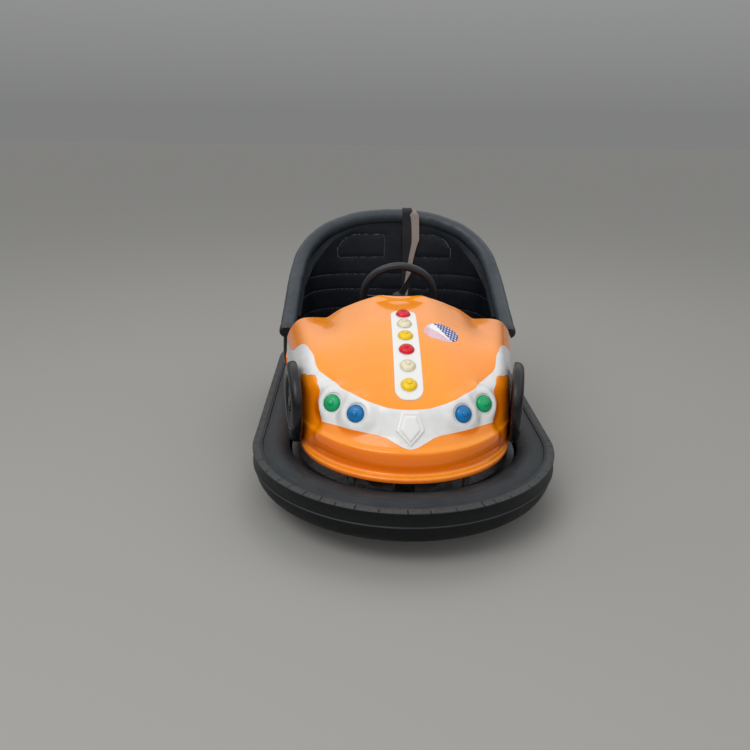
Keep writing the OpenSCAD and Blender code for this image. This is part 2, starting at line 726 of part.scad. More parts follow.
// Padded backrest: a U that leans back from the seat to the pad
back_front_y = 150;
back_rear_y = tub_rear_y - 273;
back_corner_r = 235;
back_from = 0.13;
back_rows = 6;

function back_plan(w, inset) =
    u_plan(w, back_front_y, tub_half_w - wall - 5, back_rear_y, back_corner_r, inset);
function back_in(w) = unit(back_plan(w, 1) - back_plan(w, 0));
function back_point(s, h, inset) =
    let (w = mix(back_from, 1, s),
        low = back_plan(s, inset),
        q = tub_in(mix(pad_from, 1, w)),
        top = rim_point(w) + (wall + 2 + inset) * [q[0], q[1], 0] - [0, 0, 5])
    mix([low[0], low[1], seat_z - 75], top, h) + 18 * sin(180 * h) * [q[0], q[1], 0] * ramp(s, 0.5, 0.8);

function back_loop(s) =
    let (t = back_t * mix(0.5, 1, ramp(s, 0, 0.5)))
    concat(
        [for (i = [0:back_rows]) back_point(s, i / back_rows, 0)],
        [for (i = [back_rows:-1:0]) back_point(s, i / back_rows, t)]);

back_steps = 20;

module backrest() {
    color([0.1, 0.1, 0.11]) skin(concat(
        [for (i = [0:back_steps]) [for (v = back_loop(i / back_steps)) mirrored(v)]],
        [for (i = [back_steps - 1:-1:0]) back_loop(i / back_steps)]));
}

// Seat cushion, seat box and battery
seat_front_y = back_front_y - 6;
seat_half_w = tub_half_w - wall - 5 - back_t - 6;
seat_back_y = back_rear_y - back_t - 8;
seat_corner_r = 205;

seat_front_r = 30;

// Plan of the bench: two front corners of small radius, two rear ones of large radius
module seat_plan(inset) {
    r = seat_corner_r - inset;
    front = seat_front_y + inset;
    back = seat_back_y - inset;
    half = seat_half_w - inset;
    for (side = [-1, 1])
        translate([side * (half - seat_front_r), front + seat_front_r]) circle(r = seat_front_r);
    translate([seat_front_r - half, front]) square([2 * (half - seat_front_r), seat_front_r + 1]);
    intersection() {
        translate([-half, front + seat_front_r]) square([2 * half, back - front]);
        union() {
            for (side = [-1, 1]) translate([side * (half - r), back - r]) circle(r = r);
            translate([-half, front]) square([2 * half, back - r - front]);
            translate([r - half, back - r]) square([2 * (half - r), r]);
        }
    }
}

module seat_cushion() {
    color([0.1, 0.1, 0.11]) translate([0, 0, seat_z - seat_t])
        linear_extrude(seat_t) seat_plan(0);
}

seat_box_t = 6;
seat_box_in = 19;
seat_box_top = seat_z - seat_t - seat_gap;

module seat_box() {
    color([0.96, 0.42, 0.05]) difference() {
        translate([0, 0, floor_z]) linear_extrude(seat_box_top - floor_z) seat_plan(seat_box_in);
        translate([0, 0, floor_z - 1])
            linear_extrude(seat_box_top - floor_z - seat_box_t + 1) seat_plan(seat_box_in + seat_box_t);
    }
}

battery_l = 460;
battery_w = 190;
battery_h = 150;
battery_back = 70;

module battery() {
    color([0.15, 0.17, 0.2]) translate([-battery_l / 2, seat_front_y + battery_back, floor_z])
        cube([battery_l, battery_w, battery_h]);
}

// Belt: webbing over the pad and down the backrest, and its anchor on the tub's back
belt_x = 62;
belt_t = 3;
belt_s = 1 - (belt_x + belt_w / 2)
    / (u_length(back_front_y, tub_half_w - wall - 5, back_rear_y, back_corner_r));

anchor_t = 6;
anchor_w = 34;
anchor_l = 60;
anchor_h = 0.86;
anchor_up = unit(tub_point(1, anchor_h + 0.02, 0) - tub_point(1, anchor_h - 0.02, 0));
anchor_out = [0, anchor_up[2], -anchor_up[1]];
belt_rear = tub_point(1, anchor_h, 0) + (anchor_t + 2 * seat_gap) * anchor_out;
function belt_front(h) =
    let (v = back_point(1, h, back_t), w = back_point(belt_s, h, back_t))
    [min(v[1], w[1]) - belt_t - 1, v[2]];
belt_path = concat(
    [[belt_rear[1], belt_rear[2]]],
    arc([pad_point(1)[1], pad_point(1)[2]], pad_r + 3, 10, 170, 8),
    [for (h = [0.92, 0.8, 0.6, 0.4, 0.3]) belt_front(h)]);

function belt_side(i) =
    let (a = belt_path[max(0, i - 1)], b = belt_path[min(len(belt_path) - 1, i + 1)],
        d = unit(b - a))
    [d[1], -d[0]];

module belt() {
    n = len(belt_path) - 1;
    color([0.45, 0.38, 0.34]) translate([belt_x - belt_w / 2, 0, 0]) rotate([90, 0, 90])
        linear_extrude(belt_w) polygon(concat(
            [for (i = [0:n]) belt_path[i]],
            [for (i = [n:-1:0]) belt_path[i] + belt_t * belt_side(i)]));
}

module belt_anchor() {
    color([0.1, 0.1, 0.1])
        translate([belt_x, 0, 0] + tub_point(1, anchor_h, 0) + seat_gap * anchor_out)
            aim(anchor_out) translate([-anchor_w / 2, -anchor_l / 2, 0])
                cube([anchor_w, anchor_l, anchor_t]);
}

tail_x_share = 0.74;

module tail_lamps() {
    v = tub_point(tail_x_share, 0.4, 0);
    du = tub_point(tail_x_share + 0.02, 0.4, 0) - tub_point(tail_x_share - 0.02, 0.4, 0);
    dv = tub_point(tail_x_share, 0.45, 0) - tub_point(tail_x_share, 0.35, 0);
    n = unit(cross(du, dv));
    m = n[1] < 0 ? -n : n;
    color([0.8, 0.04, 0.05]) for (side = [0, 1]) mirror([side, 0, 0])
        translate(v + seat_gap * m) aim(m) lamp();
}

// Cockpit floor, pedal and steering

mat_t = 4;
mat_half_w = tub_half_w - flange_w - 68;
mat_front_y = drive_y + drive_hole_r + 8;
mat_back_y = seat_front_y - 4;
post_w = 40;
post_y = -120;

module floor_mat() {
    color([0.09, 0.09, 0.1]) translate([0, 0, floor_z]) difference() {
        translate([-mat_half_w, mat_front_y, 0])
            cube([2 * mat_half_w, mat_back_y - mat_front_y, mat_t]);
        translate([-post_w / 2 - 1, post_y - post_w / 2 - 1, -1])
            cube([post_w + 2, post_w + 2, mat_t + 2]);
    }
}

// Pedal: a foot plate on two cheeks and a cross pin
pedal_at = [150, mat_front_y + 95];
pedal_w = 64;
pedal_l = 110;
pedal_tilt = 52;
cheek_h = 46;
cheek_t = 8;
cheek_x = pedal_w / 2 - 2;

module pedal() {
    color([0.3, 0.31, 0.32]) translate([pedal_at[0], pedal_at[1], floor_z + mat_t]) {
        translate([-pedal_w / 2 - 3, -30, 0]) cube([pedal_w + 6, 60, 5]);
        for (side = [0, 1]) mirror([side, 0, 0])
            translate([cheek_x - cheek_t, -10, 4]) cube([cheek_t, 20, cheek_h]);
        translate([1 - cheek_x, 0, cheek_h - 4]) rotate([0, 90, 0])
            cylinder(r = 6, h = 2 * cheek_x - 2);
        translate([-pedal_w / 2, 0, cheek_h + 4]) rotate([-pedal_tilt, 0, 0])
            translate([0, -pedal_l / 2, 0]) cube([pedal_w, pedal_l, 6]);
    }
}

axle_z = drive_r;
crown_z = 2 * drive_r + 12;
crown_t = 12;
head_z = crown_z + crown_t + 12;
head_t = 6;
leg_in = drive_hole_r + 10;
head_len = 120;
bearing_h = 40;
stem_top = head_z + head_t + bearing_h + 24;

// Bridge over the drive unit with the stem's bearing
module steering_head() {
    color([0.2, 0.21, 0.22]) translate([0, drive_y, 0]) difference() {
        union() {
            translate([-leg_in - head_t, -head_len / 2, head_z])
                cube([2 * (leg_in + head_t), head_len, head_t]);
            for (x = [-leg_in - head_t, leg_in])
                translate([x, -head_len / 2, floor_z]) cube([head_t, head_len, head_z - floor_z]);
            for (x = [-leg_in - head_t - 30, leg_in])
                translate([x, -head_len / 2, floor_z]) cube([30 + head_t, head_len, head_t]);
            translate([0, 0, head_z]) cylinder(r = stem_r + 16, h = head_t + bearing_h);
        }
        translate([0, 0, head_z - 1]) cylinder(r = stem_r + running_gap, h = bearing_h + 20);
    }
}

// The housing's top closes on the column, and its boss reaches out along it
housing_z = head_z + head_t + bearing_h;
housing_w = 96;
boss_reach = 40;
boss_y = drive_y + housing_w / 2 + boss_reach;
housing_h = column_at(column_d(drive_y + housing_w / 2))[2] + 9 - housing_z;

// Closed gear housing between the column and the stem
module gear_housing() {
    color([0.45, 0.46, 0.47]) difference() {
        union() {
            translate([-housing_w / 2, drive_y - housing_w / 2, housing_z])
                cube([housing_w, housing_w, housing_h]);
            translate(column_at(column_d(boss_y))) aim(-column_dir)
                cylinder(r = shaft_r + 15, h = 60);
        }
        translate([0, drive_y, housing_z - 1])
            cylinder(r = stem_r + 3, h = stem_top - housing_z + 7);
        translate(column_at(column_d(boss_y) - 1)) aim(-column_dir)
            cylinder(r = shaft_r + running_gap, h = 70);
    }
}

tube_low = column_d(boss_y) - seat_gap;
tube_high = 62;
tube_r = shaft_r + 8;

module column_tube() {
    color([0.15, 0.15, 0.16]) translate(column_at(tube_low)) aim(column_dir) difference() {
        cylinder(r = tube_r, h = tube_low - tube_high);
        translate([0, 0, -1])
            cylinder(r = shaft_r + running_gap, h = tube_low - tube_high + 2);
    }
}

module column_support() {
    d = column_d(post_y);
    color([0.2, 0.21, 0.22]) difference() {
        union() {
            translate([-post_w / 2, post_y - post_w / 2, floor_z])
                cube([post_w, post_w, column_at(d)[2] - floor_z]);
            translate(column_at(d + 35)) aim(column_dir) cylinder(r = tube_r + 10, h = 70);
        }
        translate(column_at(d + 80)) aim(column_dir)
            cylinder(r = tube_r + seat_gap, h = 160);
    }
}

hub_r = 30;
spoke_turn = 87;

module steering_wheel() {
    color([0.07, 0.07, 0.08]) translate([0, steer_y, steer_z]) aim(column_dir) {
        rotate_extrude($fn = 96) translate([steer_r - steer_grip, 0]) circle(r = steer_grip, $fn = 24);
        difference() {
            translate([0, 0, -52]) cylinder(r1 = hub_r - 6, r2 = hub_r, h = 44);
            translate([0, 0, -53]) cylinder(r = shaft_r + seat_gap, h = 33);
        }
        for (a = [0, 120, 240]) rotate([0, 0, spoke_turn + a]) rotate([0, -6, 0])
            translate([hub_r - 8, -14, -20]) cube([steer_r - steer_grip - hub_r + 6, 28, 7]);
    }
}

module steering_shaft() {
    color([0.6, 0.6, 0.62]) translate(column_at(tube_low + 50)) aim(column_dir)
        cylinder(r = shaft_r, h = tube_low + 50 - 22);
}

// Drive unit

fork_in = drive_w / 2 + 6;
fork_t = 10;

module drive_fork() {
    color([0.3, 0.31, 0.33]) translate([0, drive_y, 0]) {
        translate([-fork_in - fork_t, -40, crown_z]) cube([2 * (fork_in + fork_t), 80, crown_t]);
        translate([0, 0, crown_z + crown_t - 1])
            cylinder(r = stem_r, h = stem_top - crown_z - crown_t + 1);
        for (side = [0, 1]) mirror([side, 0, 0]) translate([fork_in, 0, 0]) {
            translate([0, -32, axle_z]) cube([fork_t, 64, crown_z - axle_z + 1]);
            translate([0, 0, axle_z]) rotate([0, 90, 0]) cylinder(r = 32, h = fork_t);
        }
        translate([-fork_in - 1, 0, axle_z]) rotate([0, 90, 0])
            cylinder(r = pin_r + 2, h = 2 * fork_in + 2);
    }
}

module drive_motor() {
    color([0.35, 0.36, 0.38]) translate([fork_in + fork_t + seat_gap, drive_y, axle_z])
        rotate([0, 90, 0]) {
            cylinder(r = motor_r - 4, h = motor_l);
            translate([0, 0, 8]) cylinder(r = motor_r, h = motor_l - 22);
        }
}

// Wheel hub with a web between rim and boss
module wheel_hub(outer, width, bore) {
    rotate([0, 90, 0]) rotate_extrude() translate([0, -width / 2]) polygon([
        [bore, 0], [bore + 14, 0], [bore + 14, width * 0.3], [outer - 8, width * 0.3],
        [outer - 8, 0], [outer, 0], [outer, width], [outer - 8, width],
        [outer - 8, width * 0.7], [bore + 14, width * 0.7], [bore + 14, width], [bore, width]]);
}

module wheel_tyre(outer, inner, width) {
    rotate([0, 90, 0]) rotate_extrude($fn = 96) translate([0, -width / 2]) polygon([
        [inner, 0], [outer - 8, 0], [outer, 8], [outer, width - 8], [outer - 8, width],
        [inner, width]]);
}

drive_hub_r = drive_r * 0.68;

module drive_wheel_hub() {
    color([0.5, 0.51, 0.52]) translate([0, drive_y, axle_z])
        wheel_hub(drive_hub_r, drive_w, pin_r + 2 + running_gap);
}

module drive_wheel_tyre() {
    color([0.12, 0.12, 0.13]) translate([0, drive_y, axle_z])
        wheel_tyre(drive_r, drive_hub_r + seat_gap, drive_w);
}

// Rear wheels: two hanging plates and a pin on each side

bracket_t = 6;
rear_hub_r = rear_r * 0.66;

module rear_brackets() {
    top = floor_z - floor_t;
    color([0.2, 0.21, 0.22]) for (side = [0, 1]) mirror([side, 0, 0])
        translate([rear_x, rear_y, 0]) {
            for (x = [-rear_w / 2 - wheel_clear - bracket_t, rear_w / 2 + wheel_clear])
                translate([x, 0, 0]) {
                    translate([0, -30, rear_r]) cube([bracket_t, 60, top - rear_r]);
                    translate([0, 0, rear_r]) rotate([0, 90, 0])
                        cylinder(r = 19, h = bracket_t);
                }
            translate([-rear_w / 2 - wheel_clear - 1, 0, rear_r]) rotate([0, 90, 0])
                cylinder(r = pin_r, h = rear_w + 2 * wheel_clear + 2);
        }
}

module rear_hub(x) {
    color([0.5, 0.51, 0.52]) translate([x, rear_y, rear_r])
        wheel_hub(rear_hub_r, rear_w, pin_r + running_gap);
}

module rear_tyre(x) {
    color([0.12, 0.12, 0.13]) translate([x, rear_y, rear_r])
        wheel_tyre(rear_r, rear_hub_r + seat_gap, rear_w);
}

module rear_hub_left() { rear_hub(rear_x); }
module rear_tyre_left() { rear_tyre(rear_x); }
module rear_hub_right() { rear_hub(-rear_x); }
module rear_tyre_right() { rear_tyre(-rear_x); }

bumper_tyre();
bumper_rim();
floor_pan();
chassis_rails();
body_mounts();
front_cowl();
lamp_strip();
hood_lamps_red();
hood_lamps_clear();
hood_lamps_yellow();
nose_bezels();
nose_lamps_green();
nose_lamps_blue();
nose_gem();
trim_wheel_front_left();
trim_wheel_front_right();
trim_wheel_rear_left();
trim_wheel_rear_right();
rear_tub();
rim_pad();
backrest();
seat_cushion();
seat_box();
battery();
belt();
belt_anchor();
tail_lamps();
floor_mat();
pedal();
steering_head();
gear_housing();
column_support();
column_tube();
steering_wheel();
steering_shaft();
drive_fork();
drive_motor();
drive_wheel_hub();
drive_wheel_tyre();
rear_brackets();
rear_hub_left();
rear_tyre_left();
rear_hub_right();
rear_tyre_right();
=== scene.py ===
# %% [markdown]
# # A two-seat bumper car, dressed for its picture
# The steel, the shells and every moving part come from the CAD model as a fixed frame. This
# lesson puts the visible skin on it: glossy moulded shells, a scuffed rubber bumper, stitched
# vinyl, lamps and trim. Each skin repeats the CAD model's own rules at a finer grid, so that it
# lies where the solid lies. Lengths are in millimetres until a mesh is made.

# %% Load the fixed frame
import math
import bmesh
import bpy
import numpy as np
from mathutils import Matrix


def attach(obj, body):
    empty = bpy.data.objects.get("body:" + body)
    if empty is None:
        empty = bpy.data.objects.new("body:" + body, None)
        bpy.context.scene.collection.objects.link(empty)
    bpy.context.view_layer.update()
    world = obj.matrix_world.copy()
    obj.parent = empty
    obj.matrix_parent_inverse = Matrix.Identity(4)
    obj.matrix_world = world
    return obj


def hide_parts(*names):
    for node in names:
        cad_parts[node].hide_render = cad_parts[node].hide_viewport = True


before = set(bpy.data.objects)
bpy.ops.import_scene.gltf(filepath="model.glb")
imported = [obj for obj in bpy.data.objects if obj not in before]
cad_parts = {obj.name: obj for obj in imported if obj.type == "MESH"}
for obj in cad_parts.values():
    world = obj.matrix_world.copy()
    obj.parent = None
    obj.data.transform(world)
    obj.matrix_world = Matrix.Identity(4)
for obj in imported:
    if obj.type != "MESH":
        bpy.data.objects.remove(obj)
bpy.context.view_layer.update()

MM = 0.001
CHASSIS, STEERING = "chassis", "steering"

# %% [markdown]
# ## The camera
# The picture was taken standing, about three metres in front of the nose, looking down on it.
# A camera is a place and three directions: where it looks, and the right and the top of its
# picture. With a square picture and a lens as long as the sensor is wide, the field of view is
# 53 degrees.

# %% Place the camera
def stand(thing, place, way, right, up):
    """Puts a camera or a lamp at a place, so that it looks along way."""
    pose = np.eye(4)
    pose[:3] = np.column_stack([right, up, -way, place])
    bpy.context.collection.objects.link(thing)
    thing.matrix_world = Matrix(pose.tolist())


eye = np.array([-0.178, -3.0023, 1.3655])
look_down, look_right, lean = np.radians([19.39, 1.55, 0.83])
forward = np.array([math.sin(look_right) * math.cos(look_down),
                    math.cos(look_right) * math.cos(look_down), -math.sin(look_down)])
level_right = np.array([math.cos(look_right), -math.sin(look_right), 0.0])
level_up = np.cross(level_right, forward)
picture_right = math.cos(lean) * level_right + math.sin(lean) * level_up
picture_up = math.cos(lean) * level_up - math.sin(lean) * level_right

camera = bpy.data.objects.new("camera", bpy.data.cameras.new("camera"))
camera.data.sensor_width = 36.0
camera.data.lens = 36.0
camera.data.clip_end = 60.0
stand(camera, eye, forward, picture_right, picture_up)
bpy.context.scene.camera = camera

# %% [markdown]
# ## From a grid of points to a mesh
# Nearly every skin here is a grid: rows and columns of points that were worked out as whole
# arrays. Four neighbours make a face. Where a grid runs back into itself, or closes to a pole,
# its doubled points are merged, and an open end is filled. Numbers such as a distance to a
# painted edge ride along as attributes, which a material can read.

# %% Small formulas used everywhere
def mix(a, b, share):
    """a + (b - a) * share."""
    return a + (b - a) * share


def ramp(x, start, end):
    """0 before start, 1 after end, and the soft step 3t^2 - 2t^3 between them."""
    t = np.clip((np.asarray(x, float) - start) / (end - start), 0, 1)
    return t * t * (3 - 2 * t)


def unit(v):
    """Each vector divided by its own length."""
    return v / np.maximum(np.linalg.norm(v, axis=-1, keepdims=True), 1e-12)


def curve(x, table):
    """Smooth curve through rows of [key, value, ...]. Between two rows it is a cubic whose slope
    at each row is the slope from the row before it to the row after it."""
    rows = np.asarray(table, float)
    keys, values = rows[:, 0], rows[:, 1:]
    last = len(keys) - 1
    before = np.maximum(np.arange(last + 1) - 1, 0)
    after = np.minimum(np.arange(last + 1) + 1, last)
    slope = (values[after] - values[before]) / (keys[after] - keys[before])[:, None]
    x = np.asarray(x, float)
    i = np.clip(np.searchsorted(keys, x, side="right") - 1, 0, last - 1)
    gap = keys[i + 1] - keys[i]
    t = np.clip((x - keys[i]) / gap, 0, 1)[..., None]
    gap = gap[..., None]
    found = (values[i] * (2 * t ** 3 - 3 * t ** 2 + 1) + slope[i] * gap * (t ** 3 - 2 * t ** 2 + t)
             + values[i + 1] * (3 * t ** 2 - 2 * t ** 3) + slope[i + 1] * gap * (t ** 3 - t ** 2))
    return found[..., 0] if found.shape[-1] == 1 else found


def points(*parts):
    """Stacks x, y and z arrays of any matching shapes into one array of points."""
    return np.stack(np.broadcast_arrays(*parts), -1).astype(float)


def at_height(plan, z):
    """Places of a plan at a height: one number, or one for each place."""
    return points(plan[..., 0], plan[..., 1], z)


def arc(centre, radius, start, end, steps):
    """Points of a circle's arc in a plane, from one angle to the other in degrees."""
    a = np.radians(np.linspace(start, end, steps))
    return np.stack([centre[0] + radius * np.cos(a), centre[1] + radius * np.sin(a)], -1)


def path_length(line):
    """Distance run along a line of points, starting at 0."""
    steps = np.linalg.norm(np.diff(line, axis=0), axis=-1)
    return np.concatenate([[0.0], np.cumsum(steps)])


def evenly(line, count):
    """The same line with count points, equally far apart along it."""
    run = path_length(line)
    even = np.linspace(0, run[-1], count)
    return np.stack([np.interp(even, run, column) for column in np.asarray(line).T], -1)


def whole_outline(half):
    """A closed outline from its right half, which begins and ends on the middle line."""
    return np.concatenate([half, (half * [-1, 1])[::-1][1:]])


# %% Turn a grid into an object
def piece_from_grid(name, grid, uv=None, values=None, crease=40, fill=True):
    """Object from an array of points [row, column, xyz] in millimetres. uv is a pair of arrays,
    one number a row and one a column, in metres. values holds attributes, one number a point."""
    rows, columns = grid.shape[:2]
    index = np.arange(rows * columns).reshape(rows, columns)
    quads = np.stack([index[:-1, :-1], index[1:, :-1], index[1:, 1:], index[:-1, 1:]], -1)
    quads = quads.reshape(-1, 4)
    mesh = bpy.data.meshes.new(name)
    mesh.from_pydata((grid.reshape(-1, 3) * MM).tolist(), [], quads.tolist())
    if uv is not None:
        pair = np.stack(np.meshgrid(uv[0], uv[1], indexing="ij"), -1).reshape(-1, 2)
        mesh.uv_layers.new(name="map").data.foreach_set("uv", pair[quads.ravel()].ravel())
    for key, array in (values or {}).items():
        mesh.attributes.new(key, "FLOAT", "POINT").data.foreach_set("value", array.ravel())
    work = bmesh.new()
    work.from_mesh(mesh)
    bmesh.ops.remove_doubles(work, verts=work.verts, dist=2e-6)
    edges = [e for e in work.edges if e.is_boundary]
    if fill and edges:
        bmesh.ops.holes_fill(work, edges=edges, sides=0)
    bmesh.ops.recalc_face_normals(work, faces=work.faces)
    work.to_mesh(mesh)
    work.free()
    mesh.polygons.foreach_set("use_smooth", np.ones(len(mesh.polygons), bool))
    mesh.set_sharp_from_angle(angle=math.radians(crease))
    piece = bpy.data.objects.new(name, mesh)
    bpy.context.collection.objects.link(piece)
    return piece


def join_pieces(name, parts):
    """One object from several, with their meshes copied into one."""
    work = bmesh.new()
    for part in parts:
        work.from_mesh(part.data)
    mesh = bpy.data.meshes.new(name)
    work.to_mesh(mesh)
    work.free()
    for part in parts:
        bpy.data.objects.remove(part)
    piece = bpy.data.objects.new(name, mesh)
    bpy.context.collection.objects.link(piece)
    return piece


def fit(piece, material, slot, body, *nodes):
    """Gives a piece its finish, its place on a body and the CAD nodes that it stands for."""
    piece.data.materials.clear()
    piece.data.materials.append(material)
    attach(piece, body)
    if nodes:
        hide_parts(*nodes)
    print(f"{piece.name}: {len(piece.data.vertices)} points on {body}")
    return piece


# %% [markdown]
# ## Round things
# Lamps, wheels, caps and the steering wheel are turned: a profile of [radius, height] goes once
# round an axis. The profile is rounded first by cutting its corners, as a moulded edge is. The
# turned grid is then stood on its place by a frame, an origin and three directions.

# %% Turn a profile, and stand it somewhere
def rounded(profile, rounds=2, closed=False):
    """Cuts every corner: each stretch gives the points at a quarter and three quarters of it."""
    line = np.asarray(profile, float)
    for _ in range(rounds):
        after = np.roll(line, -1, axis=0)
        pairs = np.stack([mix(line, after, 0.25), mix(line, after, 0.75)], 1)
        if closed:
            line = pairs.reshape(-1, line.shape[1])
        else:
            line = np.concatenate([line[:1], pairs[:-1].reshape(-1, line.shape[1]), line[-1:]])
    return line


def turned(profile, sides=64):
    """Grid of a profile [radius, height] turned about z: (r cos a, r sin a, h)."""
    a = np.radians(np.linspace(0, 360, sides + 1))[:, None]
    r, h = np.asarray(profile, float).T
    return points(r * np.cos(a), r * np.sin(a), h + 0 * a)


def turning(axis, angle):
    """Rotation by an angle about x, y or z, which are 0, 1 and 2."""
    c, s = math.cos(angle), math.sin(angle)
    i, j = (axis + 1) % 3, (axis + 2) % 3
    turn = np.eye(3)
    turn[i, i], turn[i, j], turn[j, i], turn[j, j] = c, -s, s, c
    return turn


def aimed(direction):
    """Three axes as columns, the third along direction, turned as the CAD model turns them."""
    x, y, z = unit(np.asarray(direction, float))
    return turning(2, math.atan2(y, x)) @ turning(1, math.atan2(math.hypot(x, y), z))


def stood(grid, origin, axes):
    """A grid carried to a frame: origin + x * axis 1 + y * axis 2 + z * axis 3."""
    return grid @ np.asarray(axes).T + np.asarray(origin, float)


def mirrored(grid):
    """The same grid on the other side of the car."""
    return grid * np.array([-1.0, 1.0, 1.0])


def both_sides(loops):
    """Loops from one side to the middle, and on from there to the other side."""
    return np.concatenate([loops, mirrored(loops[::-1])[1:]])


# %% [markdown]
# ## Finishes
# Each finish is a small graph of nodes on Blender's Principled shader: noise at two or three
# scales shifts the colour and the roughness, and a bump gives the grain. Helpers keep a graph to
# one line a node. Numbers that are the same all over a finish are written on the shader itself.

# %% Helpers for node graphs
def start_finish(name, **shader):
    """A new material and its tree, with the given sockets set on its Principled shader."""
    material = bpy.data.materials.new(name)
    material.use_nodes = True
    tree = material.node_tree
    principled = tree.nodes["Principled BSDF"]
    for key, value in shader.items():
        principled.inputs[key.replace("_", " ")].default_value = value
    return material, tree


def node(tree, kind, inputs, out=0, **settings):
    """A node with its settings and inputs, which are sockets or plain values; gives one output."""
    made = tree.nodes.new("ShaderNode" + kind)
    for key, value in settings.items():
        setattr(made, key, value)
    for key, value in inputs.items():
        if isinstance(value, bpy.types.NodeSocket):
            tree.links.new(value, made.inputs[key])
        else:
            made.inputs[key].default_value = value
    return made.outputs[out]


def object_place(tree, scale=(1, 1, 1)):
    """Object coordinates in metres, stretched by scale."""
    place = node(tree, "TexCoord", {}, out="Object")
    return node(tree, "Mapping", {"Vector": place, "Scale": scale})


def map_place(tree, scale=(1, 1, 1)):
    """The piece's own map: along and across the skin in metres."""
    place = node(tree, "UVMap", {}, uv_map="map")
    return node(tree, "Mapping", {"Vector": place, "Scale": scale})


def noise(tree, place, scale, detail=4.0, rough=0.55, bend=0.0):
    return node(tree, "TexNoise", {"Vector": place, "Scale": scale, "Detail": detail,
                                   "Roughness": rough, "Distortion": bend})


def sums(tree, kind, a, b=0.0, c=0.0):
    return node(tree, "Math", {0: a, 1: b, 2: c}, operation=kind)


def plus(tree, a, b):
    return sums(tree, "ADD", a, b)


def times(tree, a, b):
    return sums(tree, "MULTIPLY", a, b)


def component(tree, vector, axis):
    """The X, Y or Z of a vector socket."""
    return node(tree, "SeparateXYZ", {"Vector": vector}, out=axis)


def facing_up(tree):
    """1 where the skin faces straight up, 0 where it stands, -1 below."""
    return component(tree, node(tree, "NewGeometry", {}, out="Normal"), "Z")


def between(tree, value, low, high, start=0.0, end=1.0):
    """value carried from the range low..high to start..end, held at both ends."""
    return node(tree, "MapRange", {"Value": value, "From Min": low, "From Max": high,
                                   "To Min": start, "To Max": end})


def blend(tree, share, a, b):
    return node(tree, "Mix", {0: share, 6: a, 7: b}, out=2, data_type="RGBA")


def attribute(tree, name):
    return node(tree, "Attribute", {}, out="Fac", attribute_name=name)


def rgb(r, g, b):
    return (r, g, b, 1.0)


def painted(material, color, rough, *layers):
    """Links color, roughness and a chain of bumps, each a pair of height socket and depth in
    metres, into the shader."""
    tree = material.node_tree
    principled = tree.nodes["Principled BSDF"]
    tree.links.new(color, principled.inputs["Base Color"])
    tree.links.new(rough, principled.inputs["Roughness"])
    normal = None
    for height, depth in layers:
        inputs = {"Height": height, "Distance": depth, "Strength": 1.0}
        if normal is not None:
            inputs["Normal"] = normal
        normal = node(tree, "Bump", inputs)
    tree.links.new(normal, principled.inputs["Normal"])
    return material


# %% Moulded gelcoat, orange with a painted white band
def gelcoat(name, base, band=False):
    """Gloss resin over glass mat: a faint print of the mat, slow waves, dust and painted shade
    in clouds low down by the lip, and painted light from above: the second of two colours
    where the skin faces up."""
    material, tree = start_finish(
        name, Coat_Weight=1.0, Coat_Roughness=0.05, Specular_IOR_Level=0.2)
    place = object_place(tree)
    fade = noise(tree, place, 3.2, 3.0)
    cloud = noise(tree, place, 38.0, 5.0)
    face_up = facing_up(tree)
    # Painted light from above: the second colour where the skin faces up, with a slow random fade
    # on top.
    top_light_and_fade = plus(tree, between(tree, face_up, 0.1, 0.75, 0.0, 0.75),
                    between(tree, fade, 0.35, 0.7, 0.0, 0.25))
    paint = blend(tree, top_light_and_fade, *base)
    if band:
        ragged = between(tree, noise(tree, place, 160.0, 2.0), 0.3, 0.7, -0.0002, 0.0002)
        inside = between(tree, plus(tree, attribute(tree, "band"), ragged), -0.0003, 0.0003)
        white = blend(tree, between(tree, cloud, 0.3, 0.75), rgb(0.76, 0.765, 0.755),
                      rgb(0.67, 0.675, 0.67))
        paint = blend(tree, inside, paint, white)
    speck = between(tree, noise(tree, place, 900.0, 2.0), 0.70, 0.78, 0.0, 0.35)
    worn = blend(tree, speck, paint, rgb(0.30, 0.22, 0.16))
    # Darker, browner and rougher in clouds low down by the lip: dust, and painted shade under the
    # lip.
    low = between(tree, component(tree, place, "Z"), 0.228, 0.27, 0.30, 0.0)
    dusty = times(tree, low, between(tree, cloud, 0.35, 0.7))
    dust_and_lip_shade = blend(tree, dusty, worn, rgb(0.20, 0.10, 0.05))
    scratch = noise(tree, object_place(tree, (40, 400, 90)), 1.0, 4.0)
    rough = plus(tree, between(tree, cloud, 0.3, 0.7, 0.20, 0.30),
                 between(tree, scratch, 0.62, 0.8, 0.0, 0.16))
    rough = plus(tree, rough, times(tree, dusty, 0.4))
    return painted(material, dust_and_lip_shade, rough, (noise(tree, place, 9.0, 2.0), 0.0016),
                   (noise(tree, place, 210.0, 3.0), 0.00012))


# Each pair: the paint, and the tone painted where the skin faces up, for the light from above.
ORANGE = rgb(0.88, 0.165, 0.001), rgb(0.93, 0.295, 0.003)
WHITE = rgb(0.80, 0.80, 0.785), rgb(0.74, 0.74, 0.725)
shell_finish = gelcoat("orange gelcoat with white band", ORANGE, band=True)
orange_finish = gelcoat("orange gelcoat", ORANGE)
white_finish = gelcoat("white gelcoat", WHITE)


